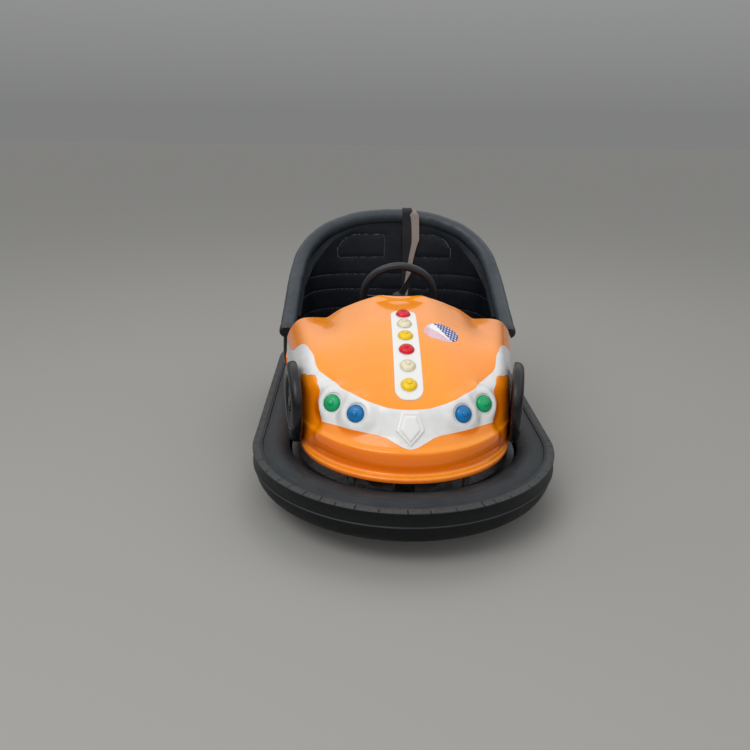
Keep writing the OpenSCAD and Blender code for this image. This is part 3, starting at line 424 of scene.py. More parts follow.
# %% Vinyl over foam
def vinyl(name, base, shine, grain=520.0, thread=None):
    """Pressed leather grain of small cells, wider dimples, a rubbed sheen where people sit, and
    lines of stitching where the attribute "stitch" comes near nothing."""
    material, tree = start_finish(name, Specular_IOR_Level=shine[2])
    place = object_place(tree)
    cells = node(tree, "TexVoronoi", {"Vector": place, "Scale": grain, "Randomness": 1.0},
                 feature="SMOOTH_F1")
    patch = noise(tree, place, 7.0, 4.0)
    rub = noise(tree, place, 26.0, 5.0)
    color = blend(tree, between(tree, patch, 0.35, 0.7), base[0], base[1])
    color = blend(tree, between(tree, cells, 0.0, 0.55, 0.35, 0.0), color, base[2])
    if thread is not None:
        seam = between(tree, attribute(tree, "stitch"), 0.0008, 0.0022, 1.0, 0.0)
        dash = node(tree, "TexNoise", {"Vector": place, "Scale": 240.0, "Detail": 1.0})
        color = blend(tree, times(tree, seam, between(tree, dash, 0.42, 0.5)), color, thread)
    rough = between(tree, rub, 0.3, 0.72, shine[0], shine[1])
    return painted(material, color, rough, (patch, 0.004), (rub, 0.0012), (cells, 0.0004))


grey_vinyl = vinyl("charcoal vinyl", (rgb(0.030, 0.039, 0.047), rgb(0.045, 0.055, 0.064),
                                      rgb(0.018, 0.023, 0.028)), (0.26, 0.42, 0.4))
black_vinyl = vinyl("black stitched vinyl", (rgb(0.0045, 0.0055, 0.008),
                                             rgb(0.008, 0.0095, 0.013), rgb(0.003, 0.004, 0.005)),
                    (0.40, 0.58, 0.2), thread=rgb(0.11, 0.12, 0.14))


# %% Rubber of the bumper, with its cracked lip
def bumper_rubber(name):
    """Black rubber, sun-greyed on top and with painted light there, and painted nearly black on
    the sides for their shade. The map's second number starts at the sharp outer edge, so the
    lip's worn band and its cracks are read from it; the cracks are the borders of uneven cells
    along the first number."""
    material, tree = start_finish(name, Specular_IOR_Level=0.22)
    place = object_place(tree)
    along = map_place(tree)
    uv = component(tree, along, "Y")
    run = component(tree, along, "X")
    cloud = noise(tree, place, 11.0, 5.0)
    fine = noise(tree, place, 90.0, 5.0)
    streak = noise(tree, map_place(tree, (9, 160, 1)), 1.0, 5.0)
    # Painted light and shade: crown colours where the rubber faces up, near-black side colours
    # where it stands; the top is also sun-greyed rubber.
    top = between(tree, facing_up(tree), -0.1, 0.55)
    side = blend(tree, between(tree, fine, 0.35, 0.7), rgb(0.003, 0.0033, 0.0036),
                 rgb(0.006, 0.0065, 0.007))
    crown = blend(tree, between(tree, cloud, 0.3, 0.7), rgb(0.017, 0.021, 0.024),
                  rgb(0.032, 0.037, 0.041))
    color = blend(tree, top, side, crown)
    lip = times(tree, between(tree, uv, 0.024, 0.034, 1.0, 0.0), between(tree, uv, 0.0, 0.003))
    worn = times(tree, lip, between(tree, fine, 0.3, 0.75, 0.15, 0.75))
    color = blend(tree, worn, color, rgb(0.070, 0.072, 0.071))
    dusty = times(tree, top, between(tree, streak, 0.52, 0.8, 0.0, 0.45))
    color = blend(tree, dusty, color, rgb(0.075, 0.075, 0.072))
    cell = plus(tree, times(tree, run, 13.5), times(tree, noise(tree, place, 60.0, 2.0), 0.10))
    border = node(tree, "TexVoronoi", {"W": cell, "Scale": 1.0, "Randomness": 0.9},
                  voronoi_dimensions="1D", feature="DISTANCE_TO_EDGE")
    slow = noise(tree, map_place(tree, (7, 0, 0)), 1.0, 1.0)
    inside = sums(tree, "LESS_THAN", uv, between(tree, slow, 0.3, 0.7, 0.007, 0.031))
    crack = times(tree, between(tree, border, 0.010, 0.026, 1.0, 0.0), inside)
    crack = times(tree, crack, between(tree, uv, -0.001, 0.001))
    color = blend(tree, crack, color, rgb(0.002, 0.002, 0.002))
    rough = between(tree, cloud, 0.3, 0.7, 0.42, 0.58)
    cut = times(tree, crack, -1.0)
    return painted(material, color, rough, (cloud, 0.003), (cut, 0.005), (streak, 0.0005),
                   (fine, 0.0006))


def rubber(name, base, scale=60.0):
    """Plain moulded rubber: a dull black with greyer scuffs."""
    material, tree = start_finish(name, Specular_IOR_Level=0.35)
    place = object_place(tree)
    scuff = noise(tree, place, scale, 6.0)
    cloud = noise(tree, place, scale / 6, 3.0)
    color = blend(tree, between(tree, scuff, 0.45, 0.75), base[0], base[1])
    rough = between(tree, cloud, 0.3, 0.7, 0.5, 0.75)
    return painted(material, color, rough, (scuff, 0.0008))


tyre_finish = bumper_rubber("bumper rubber")
wheel_rubber = rubber("solid wheel rubber", (rgb(0.018, 0.018, 0.019), rgb(0.06, 0.058, 0.055)))


# %% Steel, castings and plastics
def metal(name, base, rough, metallic=1.0, rust=0.0, spangle=0.0, dark_at_nose=False):
    """Sheet or bar: patches of two greys, scratches along y, and rust or dirt in low cloud. One
    made dark at the nose goes nearly black towards it."""
    material, tree = start_finish(name, Metallic=metallic)
    place = object_place(tree)
    cloud = noise(tree, place, 16.0, 6.0)
    scratch = noise(tree, object_place(tree, (300, 24, 300)), 1.0, 5.0)
    color = blend(tree, between(tree, cloud, 0.35, 0.68), base[0], base[1])
    if spangle:
        flake = node(tree, "TexVoronoi", {"Vector": place, "Scale": spangle}, out="Color")
        grey = node(tree, "RGBToBW", {"Color": flake})
        color = blend(tree, between(tree, grey, 0.2, 0.8, 0.0, 0.45), color, base[2])
    if rust:
        stain = between(tree, noise(tree, place, 27.0, 7.0, 0.65), 0.56, 0.72, 0.0, rust)
        color = blend(tree, stain, color, rgb(0.12, 0.055, 0.025))
    if dark_at_nose:
        # Nearly black towards the nose, a plain ramp along y.
        nose_darkening = between(tree, component(tree, place, "Y"), -0.72, -0.45, 1.0, 0.0)
        color = blend(tree, nose_darkening, color, rgb(0.008, 0.008, 0.009))
    value = plus(tree, between(tree, cloud, 0.3, 0.7, *rough),
                 between(tree, scratch, 0.55, 0.8, 0.0, 0.15))
    return painted(material, color, value, (cloud, 0.0006), (scratch, 0.0002))


def plastic(name, base, rough, coat=0.0, grain=300.0, depth=0.00015):
    """Moulded plastic: even colour with a slight cloud, and a fine moulded grain."""
    material, tree = start_finish(name, Coat_Weight=coat, Coat_Roughness=0.08)
    place = object_place(tree)
    cloud = noise(tree, place, 24.0, 4.0)
    color = blend(tree, between(tree, cloud, 0.3, 0.7), base[0], base[1])
    value = between(tree, cloud, 0.3, 0.7, *rough)
    return painted(material, color, value, (noise(tree, place, grain, 3.0), depth))


def lens(name, deep, pale):
    """Coloured lamp cap, glossy, with painted light: deep where it faces sideways and paler
    where it faces the viewer.
    """
    material, tree = start_finish(
        name, Coat_Weight=0.6, Coat_Roughness=0.02, Specular_IOR_Level=0.2)
    facing = node(tree, "LayerWeight", {"Blend": 0.35}, out="Facing")
    place = object_place(tree)
    cloud = noise(tree, place, 140.0, 3.0)
    # Painted light: paler where the cap faces the viewer, deeper towards its rim, with a little
    # random cloud.
    painted_glow_and_cloud = plus(tree, between(tree, facing, 0.0, 0.8, 0.75, 0.0),
                between(tree, cloud, 0.3, 0.7, 0.0, 0.25))
    value = between(tree, noise(tree, place, 60.0, 3.0), 0.3, 0.7, 0.10, 0.18)
    return painted(material, blend(tree, painted_glow_and_cloud, deep, pale), value,
                   (noise(tree, place, 260.0, 2.0), 0.00008))


galvanised = metal("scuffed galvanised steel", (rgb(0.10, 0.102, 0.105), rgb(0.20, 0.20, 0.198),
                                                rgb(0.34, 0.34, 0.335)), (0.42, 0.6), rust=0.3,
                   spangle=90.0)
rim_finish = metal("galvanised steel dark at the nose", (rgb(0.09, 0.091, 0.093), rgb(0.17, 0.17, 0.167),
                                               rgb(0.30, 0.30, 0.295)), (0.45, 0.62), rust=0.35,
                   spangle=90.0, dark_at_nose=True)
dark_steel = metal("painted steel", (rgb(0.030, 0.032, 0.035), rgb(0.048, 0.050, 0.054)),
                   (0.42, 0.60), metallic=0.0, rust=0.35)
bare_steel = metal("bright steel", (rgb(0.46, 0.46, 0.47), rgb(0.58, 0.58, 0.58)), (0.22, 0.36))
cast_metal = metal("cast alloy", (rgb(0.36, 0.37, 0.38), rgb(0.45, 0.455, 0.46)), (0.45, 0.62))
black_plastic = plastic("black plastic", (rgb(0.012, 0.012, 0.014), rgb(0.020, 0.020, 0.023)),
                        (0.24, 0.36), coat=0.3)
grip_plastic = plastic("steering wheel plastic", (rgb(0.014, 0.014, 0.016),
                                                  rgb(0.024, 0.024, 0.027)), (0.30, 0.44),
                       grain=700.0, depth=0.0003)
case_plastic = plastic("battery case", (rgb(0.035, 0.04, 0.045), rgb(0.05, 0.055, 0.06)),
                       (0.5, 0.65))
# Each lens: its deep colour, and the paler one painted where it faces the viewer.
LENSES = {
    "red": lens("red lens", rgb(0.30, 0.0, 0.006), rgb(0.80, 0.004, 0.016)),
    "clear": lens("clear lens", rgb(0.46, 0.38, 0.22), rgb(0.86, 0.80, 0.60)),
    "yellow": lens("yellow lens", rgb(0.60, 0.30, 0.0), rgb(0.94, 0.66, 0.002)),
    "green": lens("green lens", rgb(0.0, 0.11, 0.032), rgb(0.0, 0.40, 0.14)),
    "blue": lens("blue lens", rgb(0.0, 0.03, 0.13), rgb(0.0, 0.19, 0.50)),
}


# %% Webbing and the floor mat
def webbing(name, base):
    """Woven belt: threads run along and across the piece's own map, over and under."""
    material, tree = start_finish(name, Sheen_Weight=0.12, Sheen_Roughness=0.4)
    flat = map_place(tree)
    long_thread = node(tree, "TexWave", {"Vector": flat, "Scale": 210.0, "Distortion": 0.3},
                       bands_direction="Y")
    cross_thread = node(tree, "TexWave", {"Vector": flat, "Scale": 130.0, "Distortion": 0.2},
                        bands_direction="X")
    weave = times(tree, long_thread, cross_thread)
    dirt = noise(tree, object_place(tree), 30.0, 5.0)
    color = blend(tree, between(tree, weave, 0.0, 0.8), base[0], base[1])
    color = blend(tree, between(tree, dirt, 0.5, 0.75, 0.0, 0.5), color, base[2])
    rough = between(tree, dirt, 0.3, 0.7, 0.72, 0.88)
    return painted(material, color, rough, (weave, 0.0006))


def ribbed_mat(name):
    """Rubber mat: ribs 9 mm apart run along the car, with trodden grit between them."""
    material, tree = start_finish(name, Specular_IOR_Level=0.3)
    place = object_place(tree)
    ribs = node(tree, "TexWave", {"Vector": place, "Scale": 35.0}, bands_direction="X")
    grit = noise(tree, place, 150.0, 6.0)
    color = blend(tree, between(tree, grit, 0.45, 0.75), rgb(0.016, 0.016, 0.017),
                  rgb(0.10, 0.092, 0.08))
    rough = between(tree, grit, 0.3, 0.7, 0.65, 0.85)
    return painted(material, color, rough, (ribs, 0.003), (grit, 0.0006))


belt_black = webbing("black webbing", (rgb(0.004, 0.004, 0.006), rgb(0.014, 0.014, 0.017),
                                       rgb(0.022, 0.021, 0.021)))
belt_brown = webbing("brown webbing", (rgb(0.20, 0.155, 0.135), rgb(0.50, 0.41, 0.37),
                                       rgb(0.20, 0.17, 0.15)))
mat_rubber = ribbed_mat("ribbed mat")
print("finishes:", len(bpy.data.materials))


# %% [markdown]
# ## The sizes that place everything
# These repeat the named sizes of the CAD source, and the few that follow from them: the centres
# of the tyre's bends, the heights of its rim and of the shells' lower lip, and the plan of the
# nose.

# %% Sizes of the car
TYRE_L, TYRE_W, TYRE_THICK, TYRE_H, TYRE_Z = 1950, 1120, 136, 134, 80
REAR_CORNER_R, TYRE_EDGE, TYRE_TUCK = 390, 51, 42
RIM_T, RIM_FLANGE, RIM_H = 5, 35, 85
NOSE_INSET, FLARE, LIP_GAP, NOSE_OVER = 42, math.radians(10.8), 17, 1
COWL_REAR_Y, COWL_TOP, FENDER_TOP = -50, 660, 572
WALL, FLANGE_W, FLANGE_T, SEAT_GAP = 8, 60, 7, 0.3
PAD_R, SILL_Z, TUB_CORNER_R, TUB_REAR_GAP = 34, 400, 268, 10

front_cy = TYRE_W / 2 - TYRE_L / 2
rear_cx = TYRE_W / 2 - REAR_CORNER_R
rear_cy = TYRE_L / 2 - REAR_CORNER_R
rim_z = TYRE_Z + TYRE_H / 2 - RIM_H / 2 - 8.5
ledge_z = rim_z + RIM_H
lip_z = TYRE_Z + TYRE_H + LIP_GAP
nose_r = TYRE_W / 2 - TYRE_THICK - NOSE_INSET
nose_cy = nose_r - TYRE_L / 2 + TYRE_THICK - NOSE_OVER
nose_sweep = math.pi / 2 - FLARE


def side_x(y):
    """Half width of the shells' flared side at a place along the car."""
    return nose_r * math.cos(FLARE) + (y - nose_cy + nose_r * math.sin(FLARE)) * math.tan(FLARE)


tub_half_w = side_x(COWL_REAR_Y)
tub_front_y = COWL_REAR_Y + 1
tub_rear_y = TYRE_L / 2 - TYRE_THICK - TUB_REAR_GAP
print(f"nose radius {nose_r:.0f}, half width {tub_half_w:.1f}, lip at {lip_z:.0f} mm")

# %% [markdown]
# ## The bumper tyre and its rim
# The bumper is one long rubber section that goes round the whole car: a half circle at the nose,
# straight sides, and two tighter corners at the back. So it is a profile carried along a path.
# The path is worked out from the distance run along it, and gives a point and the direction that
# faces outwards; the profile adds how far out and how high.

# %% A path round the car
def round_car(steps):
    """Points on the tyre's outer face and the outward directions, from the middle of the back
    round the nose and back again. Half the path is a quarter circle, a straight side, a rear
    corner and half the back."""
    bend = TYRE_W / 2 * math.pi / 2
    side = rear_cy - front_cy
    corner = REAR_CORNER_R * math.pi / 2
    half = bend + side + corner + rear_cx
    run = np.linspace(-half, half, steps)
    s = np.abs(run)
    parts = [s < bend, s < bend + side, s < bend + side + corner]
    nose = s / (TYRE_W / 2)
    tail = (s - bend - side) / REAR_CORNER_R
    out_x = np.select(parts, [np.sin(nose), np.ones_like(s), np.cos(tail)], 0.0)
    out_y = np.select(parts, [-np.cos(nose), np.zeros_like(s), np.sin(tail)], 1.0)
    x = np.select(parts, [TYRE_W / 2 * np.sin(nose), TYRE_W / 2 + 0 * s,
                          rear_cx + REAR_CORNER_R * np.cos(tail)], half - s)
    y = np.select(parts, [front_cy - TYRE_W / 2 * np.cos(nose), front_cy + s - bend,
                          rear_cy + REAR_CORNER_R * np.sin(tail)], TYRE_L / 2)
    turn = np.where(run < 0, -1.0, 1.0)
    return run, np.stack([x * turn, y], -1), np.stack([out_x * turn, out_y], -1)


def carried_round(section, steps):
    """Grid of a section [out, height] carried round the car."""
    run, base, out = round_car(steps)
    section = np.asarray(section, float)
    xy = base[:, None, :] + out[:, None, :] * section[None, :, :1]
    return run, at_height(xy, section[None, :, 1])


def tyre_section():
    """The tyre's section, counted from its sharp outer edge: a worn bevelled lip, a shallow
    groove, the round crown, the inner wall, the tucked underside and the face with its line."""
    crown_r, crown_x, top, low = 84, 86, TYRE_H / 2, -TYRE_H / 2
    lip = [[-0.6, TYRE_EDGE + 0.2], [-2, TYRE_EDGE + 1.6], [-5, TYRE_EDGE + 2.6],
           [-14, TYRE_EDGE + 4.2], [-24, TYRE_EDGE + 5.4], [-27.5, TYRE_EDGE + 5.2],
           [-30, TYRE_EDGE + 3.4], [-33, TYRE_EDGE + 3.2], [-36, TYRE_EDGE + 4.6]]
    crown = arc([-crown_x, top - crown_r], crown_r, 55, 125, 26)
    inner = [[-TYRE_THICK + 0.8, TYRE_EDGE + 4], [-TYRE_THICK, TYRE_EDGE], [-TYRE_THICK, 10],
             [-TYRE_THICK, low + 26], [3 - TYRE_THICK, low + 14], [10 - TYRE_THICK, low + 5],
             [24 - TYRE_THICK, low]]
    a = np.radians(np.linspace(90, 0, 14))
    under = np.stack([mix(-TYRE_TUCK, -5.5, np.cos(a)), mix(-4.5, low, np.sin(a))], -1)
    face = [[-1.6, -4.0], [-0.2, -2.6], [-0.2, 0.4], [-1.6, 1.8], [-3.2, 3.2],
            [-3, 14], [-2.2, TYRE_EDGE - 14], [-0.6, TYRE_EDGE - 3], [-0.1, TYRE_EDGE - 1]]
    line = np.concatenate([lip, crown, inner, under, face, lip[:1]])
    return line + np.array([0, TYRE_Z + TYRE_H / 2])


# %% Make the tyre and the rolled rim behind it
tyre_line = tyre_section()
run, grid = carried_round(tyre_line, 420)
bumper_tyre = piece_from_grid("rubber_bumper", grid, uv=(run * MM, path_length(tyre_line) * MM))
fit(bumper_tyre, tyre_finish, "tyre_rubber", CHASSIS, "bumper_tyre")

rim_out = -TYRE_THICK - SEAT_GAP
rim_line = np.array([[rim_out, rim_z], [rim_out, ledge_z], [rim_out - RIM_FLANGE, ledge_z],
                     [rim_out - RIM_FLANGE, ledge_z - RIM_T], [rim_out - RIM_T, ledge_z - RIM_T],
                     [rim_out - RIM_T, rim_z + RIM_T], [rim_out - RIM_FLANGE, rim_z + RIM_T],
                     [rim_out - RIM_FLANGE, rim_z]])
rim_line = rounded(rim_line, 1, closed=True)
run, grid = carried_round(np.concatenate([rim_line, rim_line[:1]]), 300)
rolled_rim = piece_from_grid("rolled_rim", grid, uv=(run * MM, np.arange(len(rim_line) + 1) * MM))
fit(rolled_rim, rim_finish, "galvanised_steel", CHASSIS, "bumper_rim")

# %% [markdown]
# ## The front cowl
# The cowl is one moulding: a face that curls up from a rolled lip, a soft corner, and a hood with
# a fender at each side. In plan it is an arc that runs into two flared sides. Its height is the
# hood's crest, which falls towards the nose, less a drop to each side, blended into the fenders.
# The grid's rows climb from the lip up the face and back along the hood; its columns go round the
# nose.

# %% Plan and heights of the cowl
TABLE_L, TABLE_W = 790, 466
cowl_k = TABLE_L / (COWL_REAR_Y - nose_cy + nose_r)
CREST_DROP = [[0, 0], [60, 7], [170, 22], [250, 36], [330, 56], [410, 80], [490, 111],
              [550, 139], [590, 159], [630, 182], [685, 213], [800, 275]]
DOME_DROP = [[0, 0], [83, 0], [123, 5], [163, 18], [203, 34], [244, 53], [296, 88], [350, 126]]
FENDER_DROP = [[0, 0], [100, 2], [200, 8], [295, 17], [380, 36], [450, 66], [510, 104],
               [550, 140], [620, 215]]
ROLL_DROP = [[0, 108], [10, 74], [23, 45], [52, 12], [88, 0], [170, 0]]
FENDER_FROM, FENDER_FULL = 284, 318
VALLEY_REACH, VALLEY_GROWS = (6, 46), (20, 260)
VALLEY_FROM, VALLEY_TO = (120, 210), (335, 380)


def cowl_plan(p, inset):
    """x and y of the cowl's outline, moved in by inset: p is 0 at the nose and 1 where the arc
    meets the flared side, which p follows to 2 at the back edge."""
    r = nose_r - inset
    y_side = mix(nose_cy - r * math.sin(FLARE), COWL_REAR_Y, p - 1)
    on_arc = p <= 1
    x = np.where(on_arc, r * np.sin(p * nose_sweep), side_x(y_side) - inset / math.cos(FLARE))
    y = np.where(on_arc, nose_cy - r * np.cos(p * nose_sweep), y_side)
    return x, y


def crest_z(y):
    """Height of the hood on the centre line."""
    return COWL_TOP - curve((COWL_REAR_Y - y) * cowl_k, CREST_DROP)


def hood_z(x, y):
    """Height of the hood and the fenders over a place of the plan. Where the dome falls below
    the fender, the valley between them is filled to a soft fillet, wider further ahead."""
    ahead = (COWL_REAR_Y - y) * cowl_k
    k = TABLE_W / tub_half_w
    fender = FENDER_TOP - curve(ahead, FENDER_DROP) - curve((side_x(y) - x) * k, ROLL_DROP)
    dome = crest_z(y) - curve(x * k, DOME_DROP)
    plain = mix(dome, fender, ramp(x * k, FENDER_FROM, FENDER_FULL))
    reach = mix(*VALLEY_REACH, ramp(ahead, *VALLEY_GROWS))
    overlap = np.maximum(reach - np.abs(dome - fender), 0)
    soft = np.maximum(dome, fender) + overlap ** 2 / (4 * reach)
    near = ramp(x * k, *VALLEY_FROM) * (1 - ramp(x * k, *VALLEY_TO))
    return mix(plain, np.maximum(plain, soft), near)


NOSE_SHARE = [[0, 1], [0.62, 1], [0.81, 0.62], [1, 0.1], [1.12, 0], [2, 0]]
EDGE_INSET = [[0, 105], [0.4, 106], [0.56, 110], [0.75, 106], [0.85, 80], [0.935, 45],
              [1, 22], [1.12, 9], [2, 7]]
REAR_SHARE = [[0, 0], [0.56, 0.36], [0.75, 0.51], [0.935, 0.665], [1, 0.72], [1.35, 0.82],
              [1.75, 0.92], [2, 0.965]]
# [share up the face, height above the lip, inset at the nose, inset at the sides]
FACE = [[0, 0, 3, 1], [0.03, 1, 0.5, 0], [0.09, 8, -1, 0], [0.13, 13.5, 0, 0],
        [0.17, 17, 4, 0], [0.22, 20, 14, 0], [0.27, 25, 20, 0], [0.32, 34, 20.5, 0],
        [0.44, 52, 17.2, 0], [0.56, 70, 17.5, 0], [0.65, 85, 19.5, 0], [0.72, 94.5, 22.4, 0],
        [0.755, 99, 25.2, 0], [0.785, 102.4, 30.2, 0.3], [0.82, 105.6, 35.5, 0.6],
        [0.88, 111.5, 41.8, 1], [1, 136, 60, 2]]


def face_point(p, share):
    """A point of the face below the band: its inset goes from the nose's to the side's."""
    row = curve(share, FACE)
    nose = curve(p, NOSE_SHARE)
    x, y = cowl_plan(p, mix(row[..., 2], row[..., 1], nose))
    return points(x, y, lip_z + row[..., 0])


def hood_point(p, k, extra=0.0, down=0.0):
    """A point of the hood: k runs from the edge over the face to the cowl's back edge."""
    x0, y0 = cowl_plan(p, curve(p, EDGE_INSET) + extra)
    x = mix(x0, curve(p, REAR_SHARE) * tub_half_w, k)
    y = mix(y0, COWL_REAR_Y, k)
    return points(x, y, hood_z(x, y) - down)


def band_point(p, share):
    """A point of the sloping face between the bulge and the hood's edge."""
    return mix(face_point(p, 1.0 + 0 * p), hood_point(p, 0.0 * p), share[..., None])


# %% [markdown]
# ## Where the nose lamps sit
# The four nose lamps look further ahead than the cone of the face does. Each has a seat: a flat
# place whose direction is halfway between the face's own and straight ahead. The panel between
# the left and right pairs is flatter than the arc behind it, so it stands forward towards its
# ends and turns a soft corner outside the green lamps.

# %% Seats of the nose lamps
LAMP_SINK, BEZEL_R, BEZEL_T, BEZEL_LIFT = 3, 36, 5, 0.95
GREEN_AT, BLUE_AT = (0.722, 0.53), (0.455, 0.53)
STRAIGHT_AHEAD = np.array([0, -0.92, 0.39])


def band_normal(p, share):
    """Outward direction of the face: the cross product of its two slopes."""
    p, share = np.asarray(p, float), np.asarray(share, float)
    round_nose = band_point(p + 0.02, share) - band_point(p - 0.02, share)
    up_face = band_point(p, share + 0.1) - band_point(p, share - 0.1)
    return unit(np.cross(round_nose, up_face))


def nose_seat(at):
    """Origin and outward direction of a nose lamp's seat, and the way in its plane along which
    the face climbs above it."""
    n = band_normal(*at)
    m = unit(n + STRAIGHT_AHEAD)
    slope = math.sqrt(1 - float(n @ m) ** 2) / float(n @ m)
    foot = band_point(np.array(at[0]), np.array(at[1]))
    origin = foot + BEZEL_LIFT * n + (BEZEL_T + BEZEL_R * slope) * m
    return origin, m, unit(float(n @ m) * m - n)


nose_seats = {"green": nose_seat(GREEN_AT), "blue": nose_seat(BLUE_AT)}
for name, (origin, m, climb) in nose_seats.items():
    print(f"{name} lamp at {np.round(origin)} looks along {np.round(m, 2)}")

# %% The cowl's outer skin as one grid
PANEL_PUSH = [[0, 0], [0.2, 2], [0.35, 7], [0.5, 12], [0.65, 16], [0.70, 16], [0.735, 12],
              [0.765, 4], [0.8, 0], [2, 0]]
HOOD_PUSH = [[0, 0], [0.2, 2], [0.35, 6], [0.5, 9.5], [0.65, 9], [0.8, 4], [0.92, 0], [2, 0]]
ROW_PUSH = [[0, 0], [0.3, 0], [0.55, 0.55], [0.8, 0.9], [1, 1], [2, 1], [2.12, 0.7], [2.3, 0.15],
            [2.4, 0], [3, 0]]
RECESS_R, RECESS_SHIFT, RECESS_DRAFT, RECESS_HIGH = 38, 5, 1.5, 70
SEAT_SLOPE, SEAT_RISE, SEAT_FLAT, SEAT_DEPTH = 5.0, 3.0, (42, 82), (-70, 60)
# The hood's back edge is rolled up a little: its height, where it begins and its share across
SCOOP_H, SCOOP_Y = 7, (-105, -58)
SCOOP_ACROSS = [[0, 0.45], [40, 0.55], [83, 1], [100, 0.6], [118, 0.1], [135, 0], [500, 0]]


def flattened(grid, seat):
    """Moves the skin round a lamp along the lamp's own direction on to a plane that climbs a
    little, fully within the recess's reach and less and less beyond it."""
    origin, m, climb = seat
    d = grid - origin
    height = d @ m
    flat = d - height[..., None] * m
    r = np.linalg.norm(flat, axis=-1)
    plane = SEAT_RISE + SEAT_SLOPE * (flat @ climb) / RECESS_R
    share = (1 - ramp(r, *SEAT_FLAT)) * (height > SEAT_DEPTH[0]) * (height < SEAT_DEPTH[1])
    return grid + (share * (plane - height))[..., None] * m


def softened(grid, first, last, rounds):
    """Rounds the corner between two rows: each row is averaged with its neighbours."""
    soft = grid.copy()
    for _ in range(rounds):
        inner = 0.25 * soft[:, first - 1:last - 1] + 0.25 * soft[:, first + 1:last + 1]
        soft[:, first:last] = 0.5 * soft[:, first:last] + inner
    return soft


p_half = np.concatenate([np.linspace(0, 1, 100), np.linspace(1, 2, 62)[1:]])
face_rows, band_rows, hood_rows = (np.linspace(0, 1, rows) for rows in (46, 20, 84))
p = p_half[:, None]
outer = np.concatenate([face_point(p, face_rows[None, :] + 0 * p),
                        band_point(p + 0 * band_rows[None, 1:], band_rows[None, 1:] + 0 * p),
                        hood_point(p, hood_rows[None, 1:])], axis=1)
row_place = np.concatenate([face_rows, 1 + band_rows[1:], 2 + hood_rows[1:]])
edge_row = len(face_rows) + len(band_rows) - 2
outer = softened(outer, edge_row - 4, edge_row + 5, 10)
sideways = mix(curve(p_half, PANEL_PUSH)[:, None], curve(p_half, HOOD_PUSH)[:, None],
               ramp(row_place, 2.0, 2.09)[None, :])
push = sideways * curve(row_place, ROW_PUSH)[None, :]
push_way = unit(band_normal(np.minimum(p_half, 1), 0.5 + 0 * p_half) + STRAIGHT_AHEAD)
outer = outer + push[..., None] * push_way[:, None, :]
for seat in nose_seats.values():
    outer = flattened(outer, seat)
scoop = SCOOP_H * ramp(outer[..., 1], *SCOOP_Y) * curve(np.abs(outer[..., 0]), SCOOP_ACROSS)
outer[..., 2] += scoop

# %% Close the cowl with its inner side and its turned-in flange
INNER_FACE = [[136, 69, 10], [106, 48, 9], [93, 36, 8], [58, 32, 8], [7, 32, 8]]


def inner_face(p, row):
    """A point of the inner side, at a height above the lip and an inset of its own."""
    x, y = cowl_plan(p, mix(row[2], row[1], curve(p, NOSE_SHARE)))
    return points(x, y, lip_z + row[0])


inner_down = WALL * mix(1, 1.8, ramp(p_half, 0.8, 1.1))[:, None]
inner_k = np.linspace(1, 0, 22)[None, :]
inner_hood = hood_point(p, inner_k, 0.7 * WALL, inner_down)
inner_hood[:, 0, 2] += scoop[:, -1]
# The back edge gets two loops of its own, and the skin's last rows draw back to round it
edge = [outer[:, -1:] - np.array([0, 0, 2.0]), inner_hood[:, :1] + np.array([0, 0, 1.5])]
outer[:, -1, 1] -= 1.6
inner_hood[:, 0, 1] -= 1.2
walls = [inner_face(p, row) for row in INNER_FACE]
fx, fy = cowl_plan(p, FLANGE_W + 0 * p)
flange = [points(fx, fy, lip_z + FLANGE_T), points(fx, fy, lip_z)]
loop = np.concatenate([outer] + edge + [inner_hood] + walls + flange + [outer[:, :1]], axis=1)
cowl_grid = np.concatenate([mirrored(loop[::-1])[:-1], loop])
print("cowl grid:", cowl_grid.shape)


# %% Paint distance of every point from the band's edge
def signed_distance(places, outline):
    """Distance of plan-like places to a closed outline, positive inside: the nearest of all its
    stretches, with a sign from how often a ray to the right crosses it."""
    a, b = outline, np.roll(outline, -1, axis=0)
    way = b - a
    reach = places[:, None, :] - a[None]
    along = np.clip((reach * way).sum(-1) / (way * way).sum(-1), 0, 1)
    far = np.linalg.norm(reach - along[..., None] * way, axis=-1).min(axis=1)
    above = (a[None, :, 1] > places[:, None, 1]) != (b[None, :, 1] > places[:, None, 1])
    drop = np.where(way[:, 1] == 0, 1e-9, way[:, 1])
    cross_x = a[:, 0] + (places[:, None, 1] - a[:, 1]) / drop * way[:, 0]
    crossings = (above & (places[:, None, 0] < cross_x)).sum(axis=1)
    return np.where(crossings % 2 == 1, far, -far)


# %% The painted band, as an outline on the cowl's own grid
# One half of the band: place round the nose, and place up the grid's rows, where 1 is the top of
# the bulge, 2 the edge of the hood and 3 the back edge. The unseen side counts as far outside,
# and the recesses as well inside.
BAND = [[0, 1.978], [0.09, 1.972], [0.18, 1.958], [0.26, 1.975], [0.33, 1.99], [0.45, 2.012],
        [0.545, 2.013], [0.69, 2.010], [0.80, 2.040], [0.86, 2.075], [0.905, 2.105],
        [0.925, 2.135], [0.94, 2.18], [0.955, 2.24], [0.98, 2.29], [1.04, 2.345], [1.13, 2.36],
        [1.25, 2.32], [1.35, 2.26], [1.45, 2.17], [1.55, 2.08], [1.70, 1.975], [1.85, 1.88],
        [2.05, 1.79], [2.05, 1.25], [1.80, 1.13], [1.55, 1.06], [1.40, 1.06], [1.28, 1.35],
        [1.17, 1.75], [1.10, 2.06], [1.03, 2.085], [0.96, 2.078], [0.93, 2.072], [0.917, 2.05],
        [0.91, 2.01], [0.84, 1.48], [0.745, 0.968], [0.573, 0.997], [0.385, 1.02],
        [0.245, 1.018], [0.17, 0.982], [0.09, 0.913], [0, 0.817]]
ROUND_MM, UNSEEN_MM, WELL_INSIDE = 528.0, -50.0, 0.004


